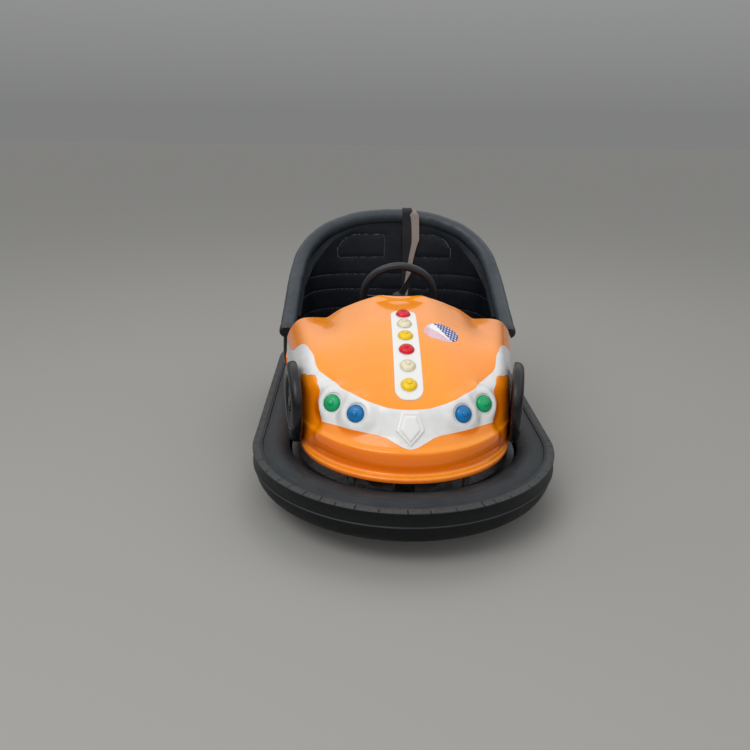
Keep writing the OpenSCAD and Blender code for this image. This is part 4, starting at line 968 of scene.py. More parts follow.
def row_mm(t):
    """Rows as a distance: 180 mm of curled face, 100 mm of band, then 690 mm of hood."""
    return 180 * np.minimum(t, 1) + 100 * np.clip(t - 1, 0, 1) + 690 * np.maximum(t - 2, 0)


half_band = np.array([[q * ROUND_MM, row_mm(t)] for q, t in BAND])
whole_band = np.concatenate([half_band, (half_band * [-1, 1])[::-1][1:-1]])
places = np.stack(np.meshgrid(p_half * ROUND_MM, row_mm(row_place), indexing="ij"), -1)
inside_mm = signed_distance(places.reshape(-1, 2), whole_band).reshape(places.shape[:2])
hidden = np.full((len(p_half), cowl_grid.shape[1] - inside_mm.shape[1] - 1), UNSEEN_MM)
half_inside = np.concatenate([inside_mm, hidden, inside_mm[:, :1]], axis=1)
grid_inside = np.concatenate([half_inside[::-1][:-1], half_inside])
print("band reaches", round(float(inside_mm.max())), "mm from its edge")


# %% Cut the lamp recesses and finish the cowl
def recess_cutter(seat, side):
    """Closed drum that cuts a lamp's recess down to its floor."""
    origin, m, climb = seat
    profile = [[0, -LAMP_SINK], [RECESS_R, -LAMP_SINK], [RECESS_R + RECESS_DRAFT, RECESS_HIGH],
               [0, RECESS_HIGH]]
    drum = stood(turned(profile, 72), origin + RECESS_SHIFT * climb, aimed(m))
    return piece_from_grid("cutter", mirrored(drum) if side < 0 else drum)


def corners(mesh):
    """All points of a mesh as an array, in millimetres."""
    flat = np.empty(len(mesh.vertices) * 3)
    mesh.vertices.foreach_get("co", flat)
    return flat.reshape(-1, 3) / MM


def applied(piece):
    """Applies a piece's modifiers to its mesh."""
    graph = bpy.context.evaluated_depsgraph_get()
    mesh = bpy.data.meshes.new_from_object(piece.evaluated_get(graph))
    piece.modifiers.clear()
    piece.data = mesh
    return piece


cowl = piece_from_grid("cowl_shell", cowl_grid, values={"band": grid_inside * MM})
cutters = [recess_cutter(seat, side) for seat in nose_seats.values() for side in (1, -1)]
drums = join_pieces("cutters", cutters)
cut = cowl.modifiers.new("recesses", "BOOLEAN")
cut.operation, cut.object, cut.solver = "DIFFERENCE", drums, "EXACT"
applied(cowl)
bpy.data.objects.remove(drums)

spots = corners(cowl.data)
values = np.empty(len(spots))
cowl.data.attributes["band"].data.foreach_get("value", values)
for origin, m, climb in nose_seats.values():
    d = np.abs(spots) * [1, 0, 0] + spots * [0, 1, 1] - origin - RECESS_SHIFT * climb
    height = d @ m
    from_axis = np.linalg.norm(d - height[:, None] * m, axis=1)
    values[(from_axis < RECESS_R + 2) & (np.abs(height) < 30)] = WELL_INSIDE
cowl.data.attributes["band"].data.foreach_set("value", values)
cowl.data.set_sharp_from_angle(angle=math.radians(40))
fit(cowl, shell_finish, "orange_gelcoat", CHASSIS, "front_cowl", "nose_bezels")


# %% [markdown]
# ## The rear tub and its rolled pad
# The tub is one wall that runs from the left sill round the back to the right one. Its foot
# follows a U in plan; its upper edge hangs under the pad, whose path is a curve in space that
# climbs from the sills to the headrest. Between foot and edge the wall is nearly straight, with
# a hollow at the back corners.

# %% The pad's path and the tub's wall
PAD_PATH = [[0, 1.005, 0.0727, 475], [0.167, 0.982, 0.242, 562], [0.351, 0.957, 0.436, 655],
            [0.504, 0.89, 0.582, 745], [0.64, 0.725, 0.679, 818], [0.744, 0.536, 0.737, 856],
            [0.85, 0.3215, 0.77, 880], [1, 0, 0.783, 890], [1.15, -0.3215, 0.77, 880]]
PAD_FROM = 0.105
HOLLOW_DEEP, HOLLOW_FROM, FOOT_IN = 34, (0.5, 0.75), 5


def pad_point(w):
    """Centre of the pad: w is 0 at its front end and 1 at the middle of the back."""
    return curve(w, PAD_PATH) * np.array([tub_half_w, tub_rear_y, 1.0])


def pad_dir(w):
    return unit(pad_point(w + 0.005) - pad_point(np.maximum(0, w - 0.005)))


def pad_down(w):
    """The downward direction square to the pad's path."""
    d = pad_dir(w)
    return unit(np.array([0, 0, -1.0]) + d[..., 2:] * d)


def u_length(front, half_w, back, corner):
    return back - corner - front + corner * math.pi / 2 + half_w - corner


def u_plan(p, front, half_w, back, corner, inset=0.0):
    """Half of a U in plan, moved in by inset: a straight side, a quarter circle, half the back."""
    side, bend = back - corner - front, corner * math.pi / 2
    s = p * u_length(front, half_w, back, corner)
    a = (s - side) / corner
    parts = [s < side, s < side + bend]
    x = np.select(parts, [half_w - inset + 0 * s, half_w - corner + (corner - inset) * np.cos(a)],
                  np.maximum(0, half_w - corner - (s - side - bend)))
    y = np.select(parts, [front + s, back - corner + (corner - inset) * np.sin(a)],
                  back - inset + 0 * s)
    return np.stack([x, y], -1)


def tub_plan(p, inset=0.0):
    return u_plan(p, tub_front_y, tub_half_w, tub_rear_y, TUB_CORNER_R, inset)


def tub_in(p):
    """Inward direction of the tub's plan."""
    return at_height(unit(tub_plan(p, 1.0) - tub_plan(p, 0.0)), 0)


def rim_point(w):
    """Where the tub's wall ends under the pad."""
    return pad_point(w) + (PAD_R + SEAT_GAP + 1) * pad_down(w)


def tub_rim(p):
    """Upper edge of the tub: a short sill, then under the pad."""
    sill = mix(np.array([tub_half_w, tub_front_y, SILL_Z]), rim_point(np.array(0.0)),
               (p / PAD_FROM)[..., None])
    under = rim_point(np.maximum(0, (p - PAD_FROM) / (1 - PAD_FROM)))
    return np.where((p >= PAD_FROM)[..., None], under, sill)


def tub_point(p, h, inset=0.0):
    """Point of the wall at a share p of the plan and h of the height, with its hollow."""
    foot, way = at_height(tub_plan(p, inset), lip_z), tub_in(p)
    hollow = HOLLOW_DEEP * ramp(p, *HOLLOW_FROM) * np.sin(math.pi * h ** 0.8)
    return mix(foot, tub_rim(p) + inset * way, h[..., None]) - hollow[..., None] * way


# %% Make the tub
tub_p = np.linspace(0, 1, 190)[:, None]
rows_h = np.linspace(0, 1, 48)[None, :]
foot_in = FOOT_IN * (1 - ramp(rows_h, 0, 0.012))
wall_out = tub_point(tub_p + 0 * rows_h, rows_h + 0 * tub_p)
wall_out = wall_out + foot_in[..., None] * tub_in(tub_p + 0 * rows_h)
inside_h = np.linspace(1, 0.02, 20)[None, :]
wall_in = tub_point(tub_p + 0 * inside_h, inside_h + 0 * tub_p, WALL)
top = tub_rim(tub_p) + 0.5 * WALL * tub_in(tub_p) - np.array([0, 0, -1.2])
g, f = tub_plan(tub_p, WALL), tub_plan(tub_p, FLANGE_W)
flange = [at_height(g, lip_z + FLANGE_T), at_height(f, lip_z + FLANGE_T), at_height(f, lip_z)]
loop = np.concatenate([wall_out, top, wall_in] + flange + [wall_out[:, :1]], axis=1)
tub = piece_from_grid("tub_shell", both_sides(loop))
fit(tub, orange_finish, "orange_gelcoat", CHASSIS, "rear_tub")

# %% [markdown]
# ## The rolled pad along the tub
# The pad is foam with a vinyl skin pulled round it and closed by a seam underneath. It is a ring
# carried along the pad's path. The ring is drawn in a little where the skin is sewn, it swells
# between shallow pulls, and both ends are closed by a black cap.

# %% Make the pad and its end caps
def pad_grid(w, radius, turn):
    """Rings square to the pad's path: centre + r (cos a down + sin a sideways)."""
    n = pad_down(w)
    b = np.cross(pad_dir(w), n)
    side = np.cos(turn)[None, :, None] * n[:, None] + np.sin(turn)[None, :, None] * b[:, None]
    return pad_point(w)[:, None] + radius[..., None] * side


turn = np.radians(np.linspace(0, 360, 49))
w = np.linspace(0.012, 1, 230)
seam = np.exp(-(np.minimum(turn, 2 * math.pi - turn) / 0.09) ** 2)
row = w[:, None]
# Two slow waves of pulls wind along the pad, and fine folds lie inside its bend at w = 0.6
pulls = 0.5 * np.sin(57 * row) * np.cos(2 * turn + 9 * row)
pulls = pulls + 0.35 * np.sin(131 * row + 1) * np.sin(3 * turn - 14 * row)
inside_bend = np.exp(-((row - 0.6) / 0.12) ** 2) * np.clip(-np.sin(turn), 0, 1)
radius = PAD_R - 0.2 - 2.2 * seam + pulls + 0.9 * inside_bend * np.cos(420 * row)
radius = radius * (0.93 + 0.07 * ramp(row, 0.012, 0.03))
half_pad = pad_grid(w, radius, turn)
grid = both_sides(half_pad)
lengths = path_length(grid[:, 0])
pad = piece_from_grid("rolled_pad", grid, uv=(lengths * MM, turn * PAD_R * MM))
fit(pad, grey_vinyl, "grey_vinyl", CHASSIS, "rim_pad")

cap_w = np.array([0.0, 0.0, 0.0, 0.006, 0.022, 0.030, 0.030])
cap_r = np.array([0.0, 0.86, 0.97, 1.035, 1.045, 1.03, 0.98]) * PAD_R
caps = pad_grid(cap_w, cap_r[:, None] + 0 * turn[None, :], turn)
for name, side in (("pad_cap_left", caps), ("pad_cap_right", mirrored(caps))):
    cap = piece_from_grid(name, side, fill=False)
    fit(cap, black_plastic, "black_plastic", CHASSIS)

# %% [markdown]
# ## The backrest
# The backrest is a padded U that leans back from the bench to the pad. Stitched lines cross it,
# and two headrests with round upper corners are quilted into its upper half. Each line is sewn
# tight, so the surface sinks along it and swells between the lines.

# %% The backrest's surface
BACK_FRONT_Y, BACK_REAR_Y, BACK_CORNER_R, BACK_FROM, BACK_T = 150, tub_rear_y - 273, 235, 0.13, 42
SEAT_Z, SEAT_T = 385, 85
BACK_FOOT_Z, BACK_HOLLOW, SKIN_SINK, NOT_SEWN = SEAT_Z - 75, 18, 7, 99.0


def back_plan(s, inset):
    return u_plan(s, BACK_FRONT_Y, tub_half_w - WALL - 5, BACK_REAR_Y, BACK_CORNER_R, inset)


def back_point(s, h, inset):
    """Point of the backrest: s along the U, h from the bench up to the pad, inset from the tub."""
    low = at_height(back_plan(s, inset), BACK_FOOT_Z)
    w = mix(BACK_FROM, 1, s)
    q = tub_in(mix(PAD_FROM, 1, w))
    top = rim_point(w) + (WALL + 2 + inset)[..., None] * q - np.array([0, 0, 5.0])
    hollow = BACK_HOLLOW * np.sin(math.pi * h) * ramp(s, 0.5, 0.8)
    return mix(low, top, h[..., None]) + hollow[..., None] * q


CHANNEL_Z = (470, 560, 630)
HEADREST_IN, HEADREST_OUT, HEADREST_LOW, HEADREST_HIGH, HEADREST_CORNER = 45, 270, 708, 812, 88


def box_line(x, z):
    """Signed distance to a headrest's outline: a box whose two upper corners are round."""
    mid_x, half_x = (HEADREST_IN + HEADREST_OUT) / 2, (HEADREST_OUT - HEADREST_IN) / 2
    mid_z, half_z = (HEADREST_LOW + HEADREST_HIGH) / 2, (HEADREST_HIGH - HEADREST_LOW) / 2
    r = np.where((z > mid_z) & (x > mid_x), HEADREST_CORNER, 14)
    qx, qz = np.abs(x - mid_x) - half_x + r, np.abs(z - mid_z) - half_z + r
    return np.minimum(np.maximum(qx, qz), 0) + np.hypot(np.maximum(qx, 0), np.maximum(qz, 0)) - r


back_s = np.linspace(0, 1, 200)[:, None]
back_h = np.linspace(0, 1, 110)[None, :]
front_in = BACK_T * mix(0.5, 1, ramp(back_s, 0, 0.5))
flat = back_point(back_s + 0 * back_h, back_h + 0 * back_s, front_in - SKIN_SINK + 0 * back_h)
channel = np.min([np.abs(flat[..., 2] - z) for z in CHANNEL_Z], axis=0)
headrest = box_line(flat[..., 0], flat[..., 2])
stitch = np.minimum(channel, np.where(flat[..., 1] > 300, np.abs(headrest), NOT_SEWN))
swell = 4 + 3 * (1 - np.exp(-stitch / 7.0)) + np.where(headrest < 0, ramp(-headrest, 0, 30), 0)
edge_fall = ramp(back_h, 0, 0.03) * ramp(back_s, 0, 0.02)
swell = np.where(edge_fall < 1, swell * edge_fall - 14 * (1 - edge_fall), swell)
q = tub_in(mix(PAD_FROM, 1, mix(BACK_FROM, 1, back_s + 0 * back_h)))
front = flat + swell[..., None] * q
back_w = mix(BACK_FROM, 1, back_s)
tucks = [pad_point(back_w) + (PAD_R - sink) * pad_down(back_w) + (BACK_T - back) * q[:, :1]
         for sink, back in ((-3, 3), (2, 8), (8, 16), (10, 26))]
front = np.concatenate([front] + tucks, axis=1)
stitch = np.concatenate([stitch, np.full((len(back_s), len(tucks)), NOT_SEWN)], axis=1)
back_h2 = np.linspace(1, 0, 12)[None, :]
rear = back_point(back_s + 0 * back_h2, back_h2 + 0 * back_s, 0 * (back_s + back_h2) + 1.0)
loop = np.concatenate([front, rear, front[:, :1]], axis=1)
stitch_all = np.concatenate([stitch, np.full(rear.shape[:2], NOT_SEWN), stitch[:, :1]], axis=1)
stitch_all = np.concatenate([stitch_all, stitch_all[::-1][1:]]) * MM
backrest = piece_from_grid("stitched_backrest", both_sides(loop), values={"stitch": stitch_all},
                           crease=60)
fit(backrest, black_vinyl, "black_vinyl", CHASSIS, "backrest")

# %% [markdown]
# ## The bench cushion
# The bench is a block of foam in a sewn vinyl cover. A filled cover could be drawn as it looks,
# but cloth finds its soft corners and its slight crown by itself. So a cover is drawn a little
# too small, and air pressure blows it up as cloth until it is tight. The split down the middle
# and the piping are pressed in afterwards, where seams hold the cover back.

# %% The cover before it is filled
SEAT_FRONT_Y, SEAT_HALF_W = BACK_FRONT_Y - 6, tub_half_w - WALL - 5 - BACK_T - 6
SEAT_BACK_Y, SEAT_CORNER_R, SEAT_FRONT_R = BACK_REAR_Y - BACK_T - 8, 205, 30
SLACK, PIPING_Z, SPLIT_DEEP, PIPING_DEEP = 5, SEAT_Z - 30, 6, 2.5
COVER_FACE, AIR_PRESSURE, MOST_MOVE = 6.5, 4.0, 11


def bench_outline(steps):
    """Outline of the bench from above: small front corners and wide rear ones."""
    front = arc([SEAT_HALF_W - SEAT_FRONT_R, SEAT_FRONT_Y + SEAT_FRONT_R], SEAT_FRONT_R, -90, 0, 12)
    rear = arc([SEAT_HALF_W - SEAT_CORNER_R, SEAT_BACK_Y - SEAT_CORNER_R], SEAT_CORNER_R, 0, 90, 30)
    half = np.concatenate([[[0, SEAT_FRONT_Y]], front, rear, [[0, SEAT_BACK_Y]]])
    return whole_outline(evenly(half, steps))


outline = bench_outline(120)
middle = np.array([0, (SEAT_FRONT_Y + SEAT_BACK_Y) / 2])
inward = unit(middle - outline)
# [share of the way out, moved in, height] over the top, the sides and the underside
SLEEVE = [[0, 0, 0], [0.5, 0, -0.5], [0.85, 0, -2], [0.95, 0, -6], [1, 0, -14], [1, -2, -28],
          [1, -2.5, -50], [1, 0, -72], [1, 3, -81], [1, 8, -SEAT_T], [0.5, 0, -SEAT_T],
          [0, 0, -SEAT_T]]
rows = curve(np.linspace(0, 11, 56), [[i] + row for i, row in enumerate(SLEEVE)])
share, moved, height = rows[:, :1, None], rows[:, 1:2, None], rows[:, 2]
xy = middle + share * (outline + (moved + SLACK) * inward - middle)
cover_z = SEAT_Z - SLACK * (height > -40) + height
cushion = piece_from_grid("bench_cushion", at_height(xy, cover_z[:, None]), crease=80)


# %% Fill it by cloth simulation
def blown_up(piece, voxel, pressure, cap, still):
    """Remeshes the cover into even faces and lets air pressure stretch it as cloth for twenty
    frames. still gives the share of each point's move that is taken away; what is left is
    capped at cap millimetres."""
    remesh = piece.modifiers.new("even faces", "REMESH")
    remesh.mode, remesh.voxel_size = "VOXEL", voxel * MM
    applied(piece)
    start = corners(piece.data)
    cloth = piece.modifiers.new("cover", "CLOTH")
    cloth.settings.use_pressure = True
    cloth.settings.uniform_pressure_force = pressure
    cloth.settings.effector_weights.gravity = 0
    cloth.settings.quality = 5
    cloth.collision_settings.use_collision = False
    for frame_number in range(1, 21):
        bpy.context.scene.frame_set(frame_number)
    graph = bpy.context.evaluated_depsgraph_get()
    shaped = piece.evaluated_get(graph).to_mesh()
    move = (corners(shaped) - start) * (1 - still(start))[:, None]
    piece.evaluated_get(graph).to_mesh_clear()
    piece.modifiers.clear()
    bpy.context.scene.frame_set(1)
    far = np.linalg.norm(move, axis=1, keepdims=True)
    print(f"cover moved {far.mean():.1f} mm on average, {far.max():.1f} mm at most")
    return start + move * np.minimum(1, cap / np.maximum(far, 1e-9))


def rests(place):
    """1 on the flat underside and 0 from 25 mm above it."""
    return 1 - ramp(place[:, 2], SEAT_Z - SEAT_T + 4, SEAT_Z - SEAT_T + 25)


place = blown_up(cushion, COVER_FACE, AIR_PRESSURE, MOST_MOVE, rests)
away = place[:, :2] - middle
on_top = ramp(place[:, 2], SEAT_Z - 24, SEAT_Z - 12)
split = np.abs(place[:, 0])
piping = np.abs(place[:, 2] - PIPING_Z)
place[:, 2] -= SPLIT_DEEP * on_top * np.exp(-(split / 8) ** 2)
along_piping = PIPING_DEEP * np.exp(-(piping / 6) ** 2) * (1 - on_top)
place[:, :2] -= along_piping[:, None] * unit(away)
cushion.data.vertices.foreach_set("co", (place * MM).ravel())
stitch = np.where(on_top > 0.5, split, np.where(on_top < 0.5, piping, NOT_SEWN))
cushion.data.attributes.new("stitch", "FLOAT", "POINT").data.foreach_set("value", stitch * MM)
cushion.data.polygons.foreach_set("use_smooth", np.ones(len(cushion.data.polygons), bool))
finer = cushion.modifiers.new("finer", "SUBSURF")
finer.levels = finer.render_levels = 1
applied(cushion)
fit(cushion, black_vinyl, "black_vinyl", CHASSIS, "seat_cushion")

# %% [markdown]
# ## Strip, lamps and sticker
# A white plate with round corners lies along the hood's crest, with six lamps in a row on it.
# The plate is drawn as rings: a half outline is mirrored, and each ring is the outline moved in
# and lifted by a row of the plate's edge, until the last one shrinks to the centre line. A lamp
# is a turned cap: a thin flange, a dome and a round button on top.

# %% The plate down the hood
LAMP_START, LAMP_PITCH, STRIP_BEHIND, STRIP_AHEAD = 195, 80.5, 38, 54
STRIP_W, STRIP_T, STRIP_CORNER, STRIP_LIFT = 96, 4, 40, 0.7
lamp_y = COWL_REAR_Y - (LAMP_START + LAMP_PITCH * np.arange(6)) / cowl_k
strip_rear, strip_front = lamp_y[0] + STRIP_BEHIND, lamp_y[5] - STRIP_AHEAD


def plate_outline(inset, steps=70):
    """Closed outline of the plate from above, moved in by inset."""
    half, r = STRIP_W / 2 - inset, STRIP_CORNER - inset
    front, rear = strip_front + inset, strip_rear - inset
    side = np.concatenate([[[0, front]], arc([half - r, front + r], r, -90, 0, 14),
                           arc([half - r, rear - r], r, 0, 90, 14), [[0, rear]]])
    return whole_outline(evenly(side, steps))


# [inset, height] over the plate's edge, then shares of the way to the centre line
PLATE_EDGE = [[1, 0], [0, 0.8], [0, 2.6], [0.35, 3.4], [1.1, 3.9], [2.2, 4]]
edge = [at_height(plate_outline(inset), height) for inset, height in PLATE_EDGE]
crown = edge[-1][:, :2]
spine_y = np.clip(crown[:, 1], strip_front + STRIP_W / 2, strip_rear - STRIP_W / 2)
spine = np.column_stack([0 * spine_y, spine_y])
inner = [at_height(mix(crown, spine, share), STRIP_T) for share in (0.1, 0.3, 0.6, 1.0)]
plate = np.array([at_height(spine, 0)] + edge + inner)
plate[..., 2] += crest_z(plate[..., 1]) + STRIP_LIFT
fit(piece_from_grid("lamp_plate", plate), white_finish, "white_gelcoat", CHASSIS, "lamp_strip")

# %% The lamps
dome = np.radians(np.linspace(4, 68, 12))
LENS_EDGE = [[0, 0], [27.4, 0], [28, 0.6], [28, 2.0], [27.5, 2.7], [26.6, 3.0]]
BUTTON = [[9.4, 15.4], [9.2, 17.6], [8.3, 18.9], [6, 19.6], [3, 19.9], [0, 20.0]]
lens_profile = np.concatenate([LENS_EDGE, np.stack([26 * np.cos(dome), 3 + 12.8 * np.sin(dome)],
                                                   -1), BUTTON])
lens_grid = turned(lens_profile, 56)
NOSE_LAMP_SCALE = [1.08, 1.08, 1]


def lamp_group(name, color, node_name, places):
    """One object from the lamps at places, each an origin and three axes."""
    caps = [piece_from_grid("cap", stood(lens_grid, *place), crease=50) for place in places]
    fit(join_pieces(name, caps), LENSES[color], f"{color}_lens", CHASSIS, node_name)


hood_places = []
for y in lamp_y:
    axes = turning(0, math.atan((crest_z(y + 5) - crest_z(y - 5)) / 10))
    foot = np.array([0, y, crest_z(y) + STRIP_LIFT + STRIP_T])
    hood_places.append((foot + (SEAT_GAP + 0.3) * axes[:, 2], axes))
for i, color in enumerate(("red", "clear", "yellow")):
    lamp_group(f"crest_lamps_{color}", color, f"hood_lamps_{color}", hood_places[i::3])
for color, (origin, m, climb) in nose_seats.items():
    foot = origin - (LAMP_SINK - SEAT_GAP) * m
    places = [(foot * [side, 1, 1], aimed(m * [side, 1, 1]) * NOSE_LAMP_SCALE)
              for side in (1, -1)]
    lamp_group(f"face_lamps_{color}", color, f"nose_lamps_{color}", places)

# %% [markdown]
# ## Gem and sticker
# A five-sided gem sits on the point of the band. It is a stack of pentagons: a rim with a bevel
# on both sides and a raised field, bent round the cone of the face. The oval sticker is a film
# that follows the hood, with its own map for the print.

# %% The gem on the band
GEM_W, GEM_H, CONE_LOW_IN, CONE_LOW_Z = 92, 112, 38, 106
GEM_ROWS = [[0, -7], [0, 2.9], [0.5, 3.7], [1.4, 4.2], [6.5, 5.2], [8.2, 5.0], [9.6, 3.8],
            [10.6, 4.0], [16.5, 8.0], [18, 8.7], [20, 9.0]]
low_r, top_r = nose_r - CONE_LOW_IN, nose_r - EDGE_INSET[0][1]
low_z, top_z = lip_z + CONE_LOW_Z, float(crest_z(nose_cy - top_r))
cone_out, cone_up = unit(np.array([top_z - low_z, low_r - top_r]))
slope_length = math.hypot(top_z - low_z, low_r - top_r)


def gem_outline(inset):
    """Five straight sides, each cut into eight steps."""
    w, h = GEM_W / 2 - inset, GEM_H / 2 - inset
    tips = np.array([[0, -h], [w, -0.1 * h], [0.62 * w, h], [-0.62 * w, h], [-w, -0.1 * h],
                     [0, -h]])
    return np.stack([np.interp(np.linspace(0, 5, 41), np.arange(6), tips[:, i])
                     for i in (0, 1)], -1)


def on_cone(u, v, h):
    """A place u across and v up the face's cone, h above it."""
    share = 0.5 + v / slope_length
    r = mix(low_r, top_r, share) + h * cone_out
    return points(u, nose_cy - np.sqrt(r ** 2 - u ** 2), mix(low_z, top_z, share) + h * cone_up)


stack = [at_height(gem_outline(inset), h) for inset, h in GEM_ROWS]
stack += [at_height(share * gem_outline(20), GEM_ROWS[-1][1]) for share in (0.4, 0)]
gem = piece_from_grid("band_gem", on_cone(*np.moveaxis(np.array(stack), -1, 0)), crease=25)
fit(gem, white_finish, "white_gelcoat", CHASSIS, "nose_gem")


# %% The oval sticker
def sticker_print(name):
    """Printed film: white, with dots on blue above a slanting line and rose stripes below."""
    material, tree = start_finish(name, Coat_Weight=0.25, Coat_Roughness=0.1)
    flat = map_place(tree)
    u = component(tree, flat, "X")
    v = component(tree, flat, "Y")
    fade = noise(tree, flat, 60.0, 4.0)
    upper = between(tree, plus(tree, u, v), 0.007, 0.009)
    far = node(tree, "TexVoronoi", {"Vector": map_place(tree, (95, 60, 1)), "Scale": 1.0,
                                    "Randomness": 0.0})
    blue = times(tree, upper, between(tree, far, 0.24, 0.32))
    wave = sums(tree, "SINE", times(tree, v, 1250.0))
    low = between(tree, sums(tree, "MULTIPLY_ADD", u, 0.5, v), -0.017, -0.015, 1.0, 0.0)
    rose = times(tree, between(tree, wave, -0.3, 0.2), low)
    left = between(tree, u, -0.046, -0.040, 1.0, 0.0)
    color = blend(tree, between(tree, fade, 0.3, 0.7), rgb(0.74, 0.74, 0.77),
                  rgb(0.84, 0.84, 0.85))
    left = times(tree, left, between(tree, fade, 0.4, 0.6, 0.2, 0.8))
    color = blend(tree, left, color, rgb(0.55, 0.46, 0.56))
    color = blend(tree, rose, color, rgb(0.60, 0.16, 0.24))
    color = blend(tree, blue, color, rgb(0.008, 0.020, 0.20))
    return painted(material, color, between(tree, fade, 0.3, 0.7, 0.25, 0.4), (fade, 0.0001))


STICKER_AT, STICKER_LONG, STICKER_SHORT = (135, -356), 66, 57
STICKER_TURN, PRINT_TURN = math.radians(25), math.radians(-12)
round_share = np.array([0, 0.25, 0.5, 0.75, 0.97, 0.995, 1.0, 1.0, 0.97, 0])[:, None]
film = np.array([0.7, 0.7, 0.7, 0.7, 0.7, 0.6, 0.45, -0.2, -0.4, -0.4])[:, None]
a = np.linspace(0, 2 * math.pi, 73)[None, :]
u, v = STICKER_LONG * round_share * np.cos(a), STICKER_SHORT * round_share * np.sin(a)
x = STICKER_AT[0] + u * math.cos(STICKER_TURN) - v * math.sin(STICKER_TURN)
y = STICKER_AT[1] + u * math.sin(STICKER_TURN) + v * math.cos(STICKER_TURN)
sticker = piece_from_grid("hood_sticker", points(x, y, hood_z(x, y) + film))
layer = sticker.data.uv_layers.new(name="map")
corner_of = np.empty(len(sticker.data.loops), int)
sticker.data.loops.foreach_get("vertex_index", corner_of)
away = corners(sticker.data)[corner_of, :2] - STICKER_AT
layer.data.foreach_set("uv", (away @ turning(2, PRINT_TURN)[:2, :2] * MM).ravel())
fit(sticker, sticker_print("sticker print"), "white_gelcoat", CHASSIS)

# %% The tail lamps
def tail_place(side):
    """Origin and axes of a tail lamp, square to the tub's back."""
    at = np.array([TAIL_SHARE, TAIL_SHARE + 0.02, TAIL_SHARE - 0.02, TAIL_SHARE, TAIL_SHARE])
    spots = tub_point(at, np.array([0.4, 0.4, 0.4, 0.45, 0.35]))
    m = unit(np.cross(spots[1] - spots[2], spots[3] - spots[4]))
    m = m if m[1] > 0 else -m
    return (spots[0] + SEAT_GAP * m) * [side, 1, 1], aimed(m * [side, 1, 1])


TAIL_SHARE = 0.74
lamp_group("rear_lamps", "red", "tail_lamps", [tail_place(1), tail_place(-1)])

# %% [markdown]
# ## Dummy wheels
# The four wheels on the body's sides are trim, fixed to the shells. Each is one polar grid: rings
# of radius and height, times steps of the angle. Between its seven spokes the face is pressed in
# by a share that depends on the distance to the nearest spoke, and the same share is painted
# white.

# %% One dummy wheel as a polar grid
TRIM_R, TRIM_W, TRIM_ROUND, TRIM_DISH, TRIM_SPOKES = 146, 38, 24, 7, 7
TRIM_GAP, TRIM_LOW, TRIM_FRONT, TRIM_REAR, TRIM_CAP_R = 0.7, 1, 26, 495, 22
TRIM_PANEL_DEEP, TRIM_GROOVE_DEEP, TRIM_GROOVES, TRIM_GROOVE_W = 6, 0.8, (131, 112), 1.3
face_r, face_h = 0.64 * TRIM_R, TRIM_W - TRIM_DISH - 4
trim_z = lip_z + TRIM_LOW + TRIM_R

shoulder = arc([TRIM_R - TRIM_ROUND, TRIM_W - TRIM_ROUND], TRIM_ROUND, 0, 98, 26)
BACK = [[0, 0], [138, 0], [142.5, 1.4], [145, 4.2], [146, 8], [146, 11]]
BEAD = [[108, 36.6], [101, 35.4], [98, 33.8], [95.6, 31], [94, 28.6], [93.2, 27.4], [92, 27]]
inner_r = np.linspace(91, TRIM_CAP_R + 1.5, 40)
CAP = [[22.6, 27.2], [22.2, 28.4], [21.4, 31], [20.2, 32.8], [17, 33.8], [10, 34.6], [0, 35]]
profile = np.concatenate([BACK, shoulder, BEAD, np.stack([inner_r, face_h + 0 * inner_r], -1),
                          CAP])
steps = TRIM_SPOKES * 28
angle = np.linspace(0, 2 * math.pi, steps + 1)[None, :]
r, h = profile[:, :1] + 0 * angle, profile[:, 1:] + 0 * angle
pitch = 2 * math.pi / TRIM_SPOKES
from_spoke = r * np.abs(np.sin((angle + pitch / 2) % pitch - pitch / 2))
row = np.arange(len(profile))[:, None]
on_face = (row >= len(BACK) + 26 + len(BEAD)) & (row < len(profile) - len(CAP))
spoke_half = 5 + 3 * ramp(r, 60, 88)
panel = on_face * ramp(from_spoke, spoke_half, spoke_half + 2.5) * ramp(r, 25, 29)
panel = panel * (1 - ramp(r, face_r - 9, face_r - 5))
groove = sum(np.exp(-((r - at) / TRIM_GROOVE_W) ** 2) for at in TRIM_GROOVES)
h = h - TRIM_PANEL_DEEP * panel - TRIM_GROOVE_DEEP * groove * (h > 20)
dummy = points(r * np.cos(angle), r * np.sin(angle), h)


def trim_finish(name):
    """Black moulded plastic, painted white where the panel attribute says so."""
    material, tree = start_finish(
        name, Coat_Weight=0.15, Coat_Roughness=0.08, Specular_IOR_Level=0.35)
    place = object_place(tree)
    cloud = noise(tree, place, 30.0, 5.0)
    black = blend(tree, between(tree, cloud, 0.3, 0.7), rgb(0.004, 0.004, 0.005),
                  rgb(0.008, 0.008, 0.010))
    white = blend(tree, between(tree, cloud, 0.3, 0.7), rgb(0.62, 0.62, 0.61),
                  rgb(0.74, 0.74, 0.73))
    paint = between(tree, attribute(tree, "panel"), 0.93, 0.97)
    color = blend(tree, paint, black, white)
    rough = between(tree, cloud, 0.3, 0.7, 0.2, 0.34)
    return painted(material, color, rough, (noise(tree, place, 300.0, 3.0), 0.00012))


# %% Stand the four dummy wheels
def tub_side(y, z):
    """Half width of the tub's straight side at a place along the car and a height."""
    share = (y - tub_front_y) / u_length(tub_front_y, tub_half_w, tub_rear_y, TUB_CORNER_R)
    top = tub_rim(np.array([share]))[0]
    return mix(tub_half_w, top[0], (z - lip_z) / (top[2] - lip_z))


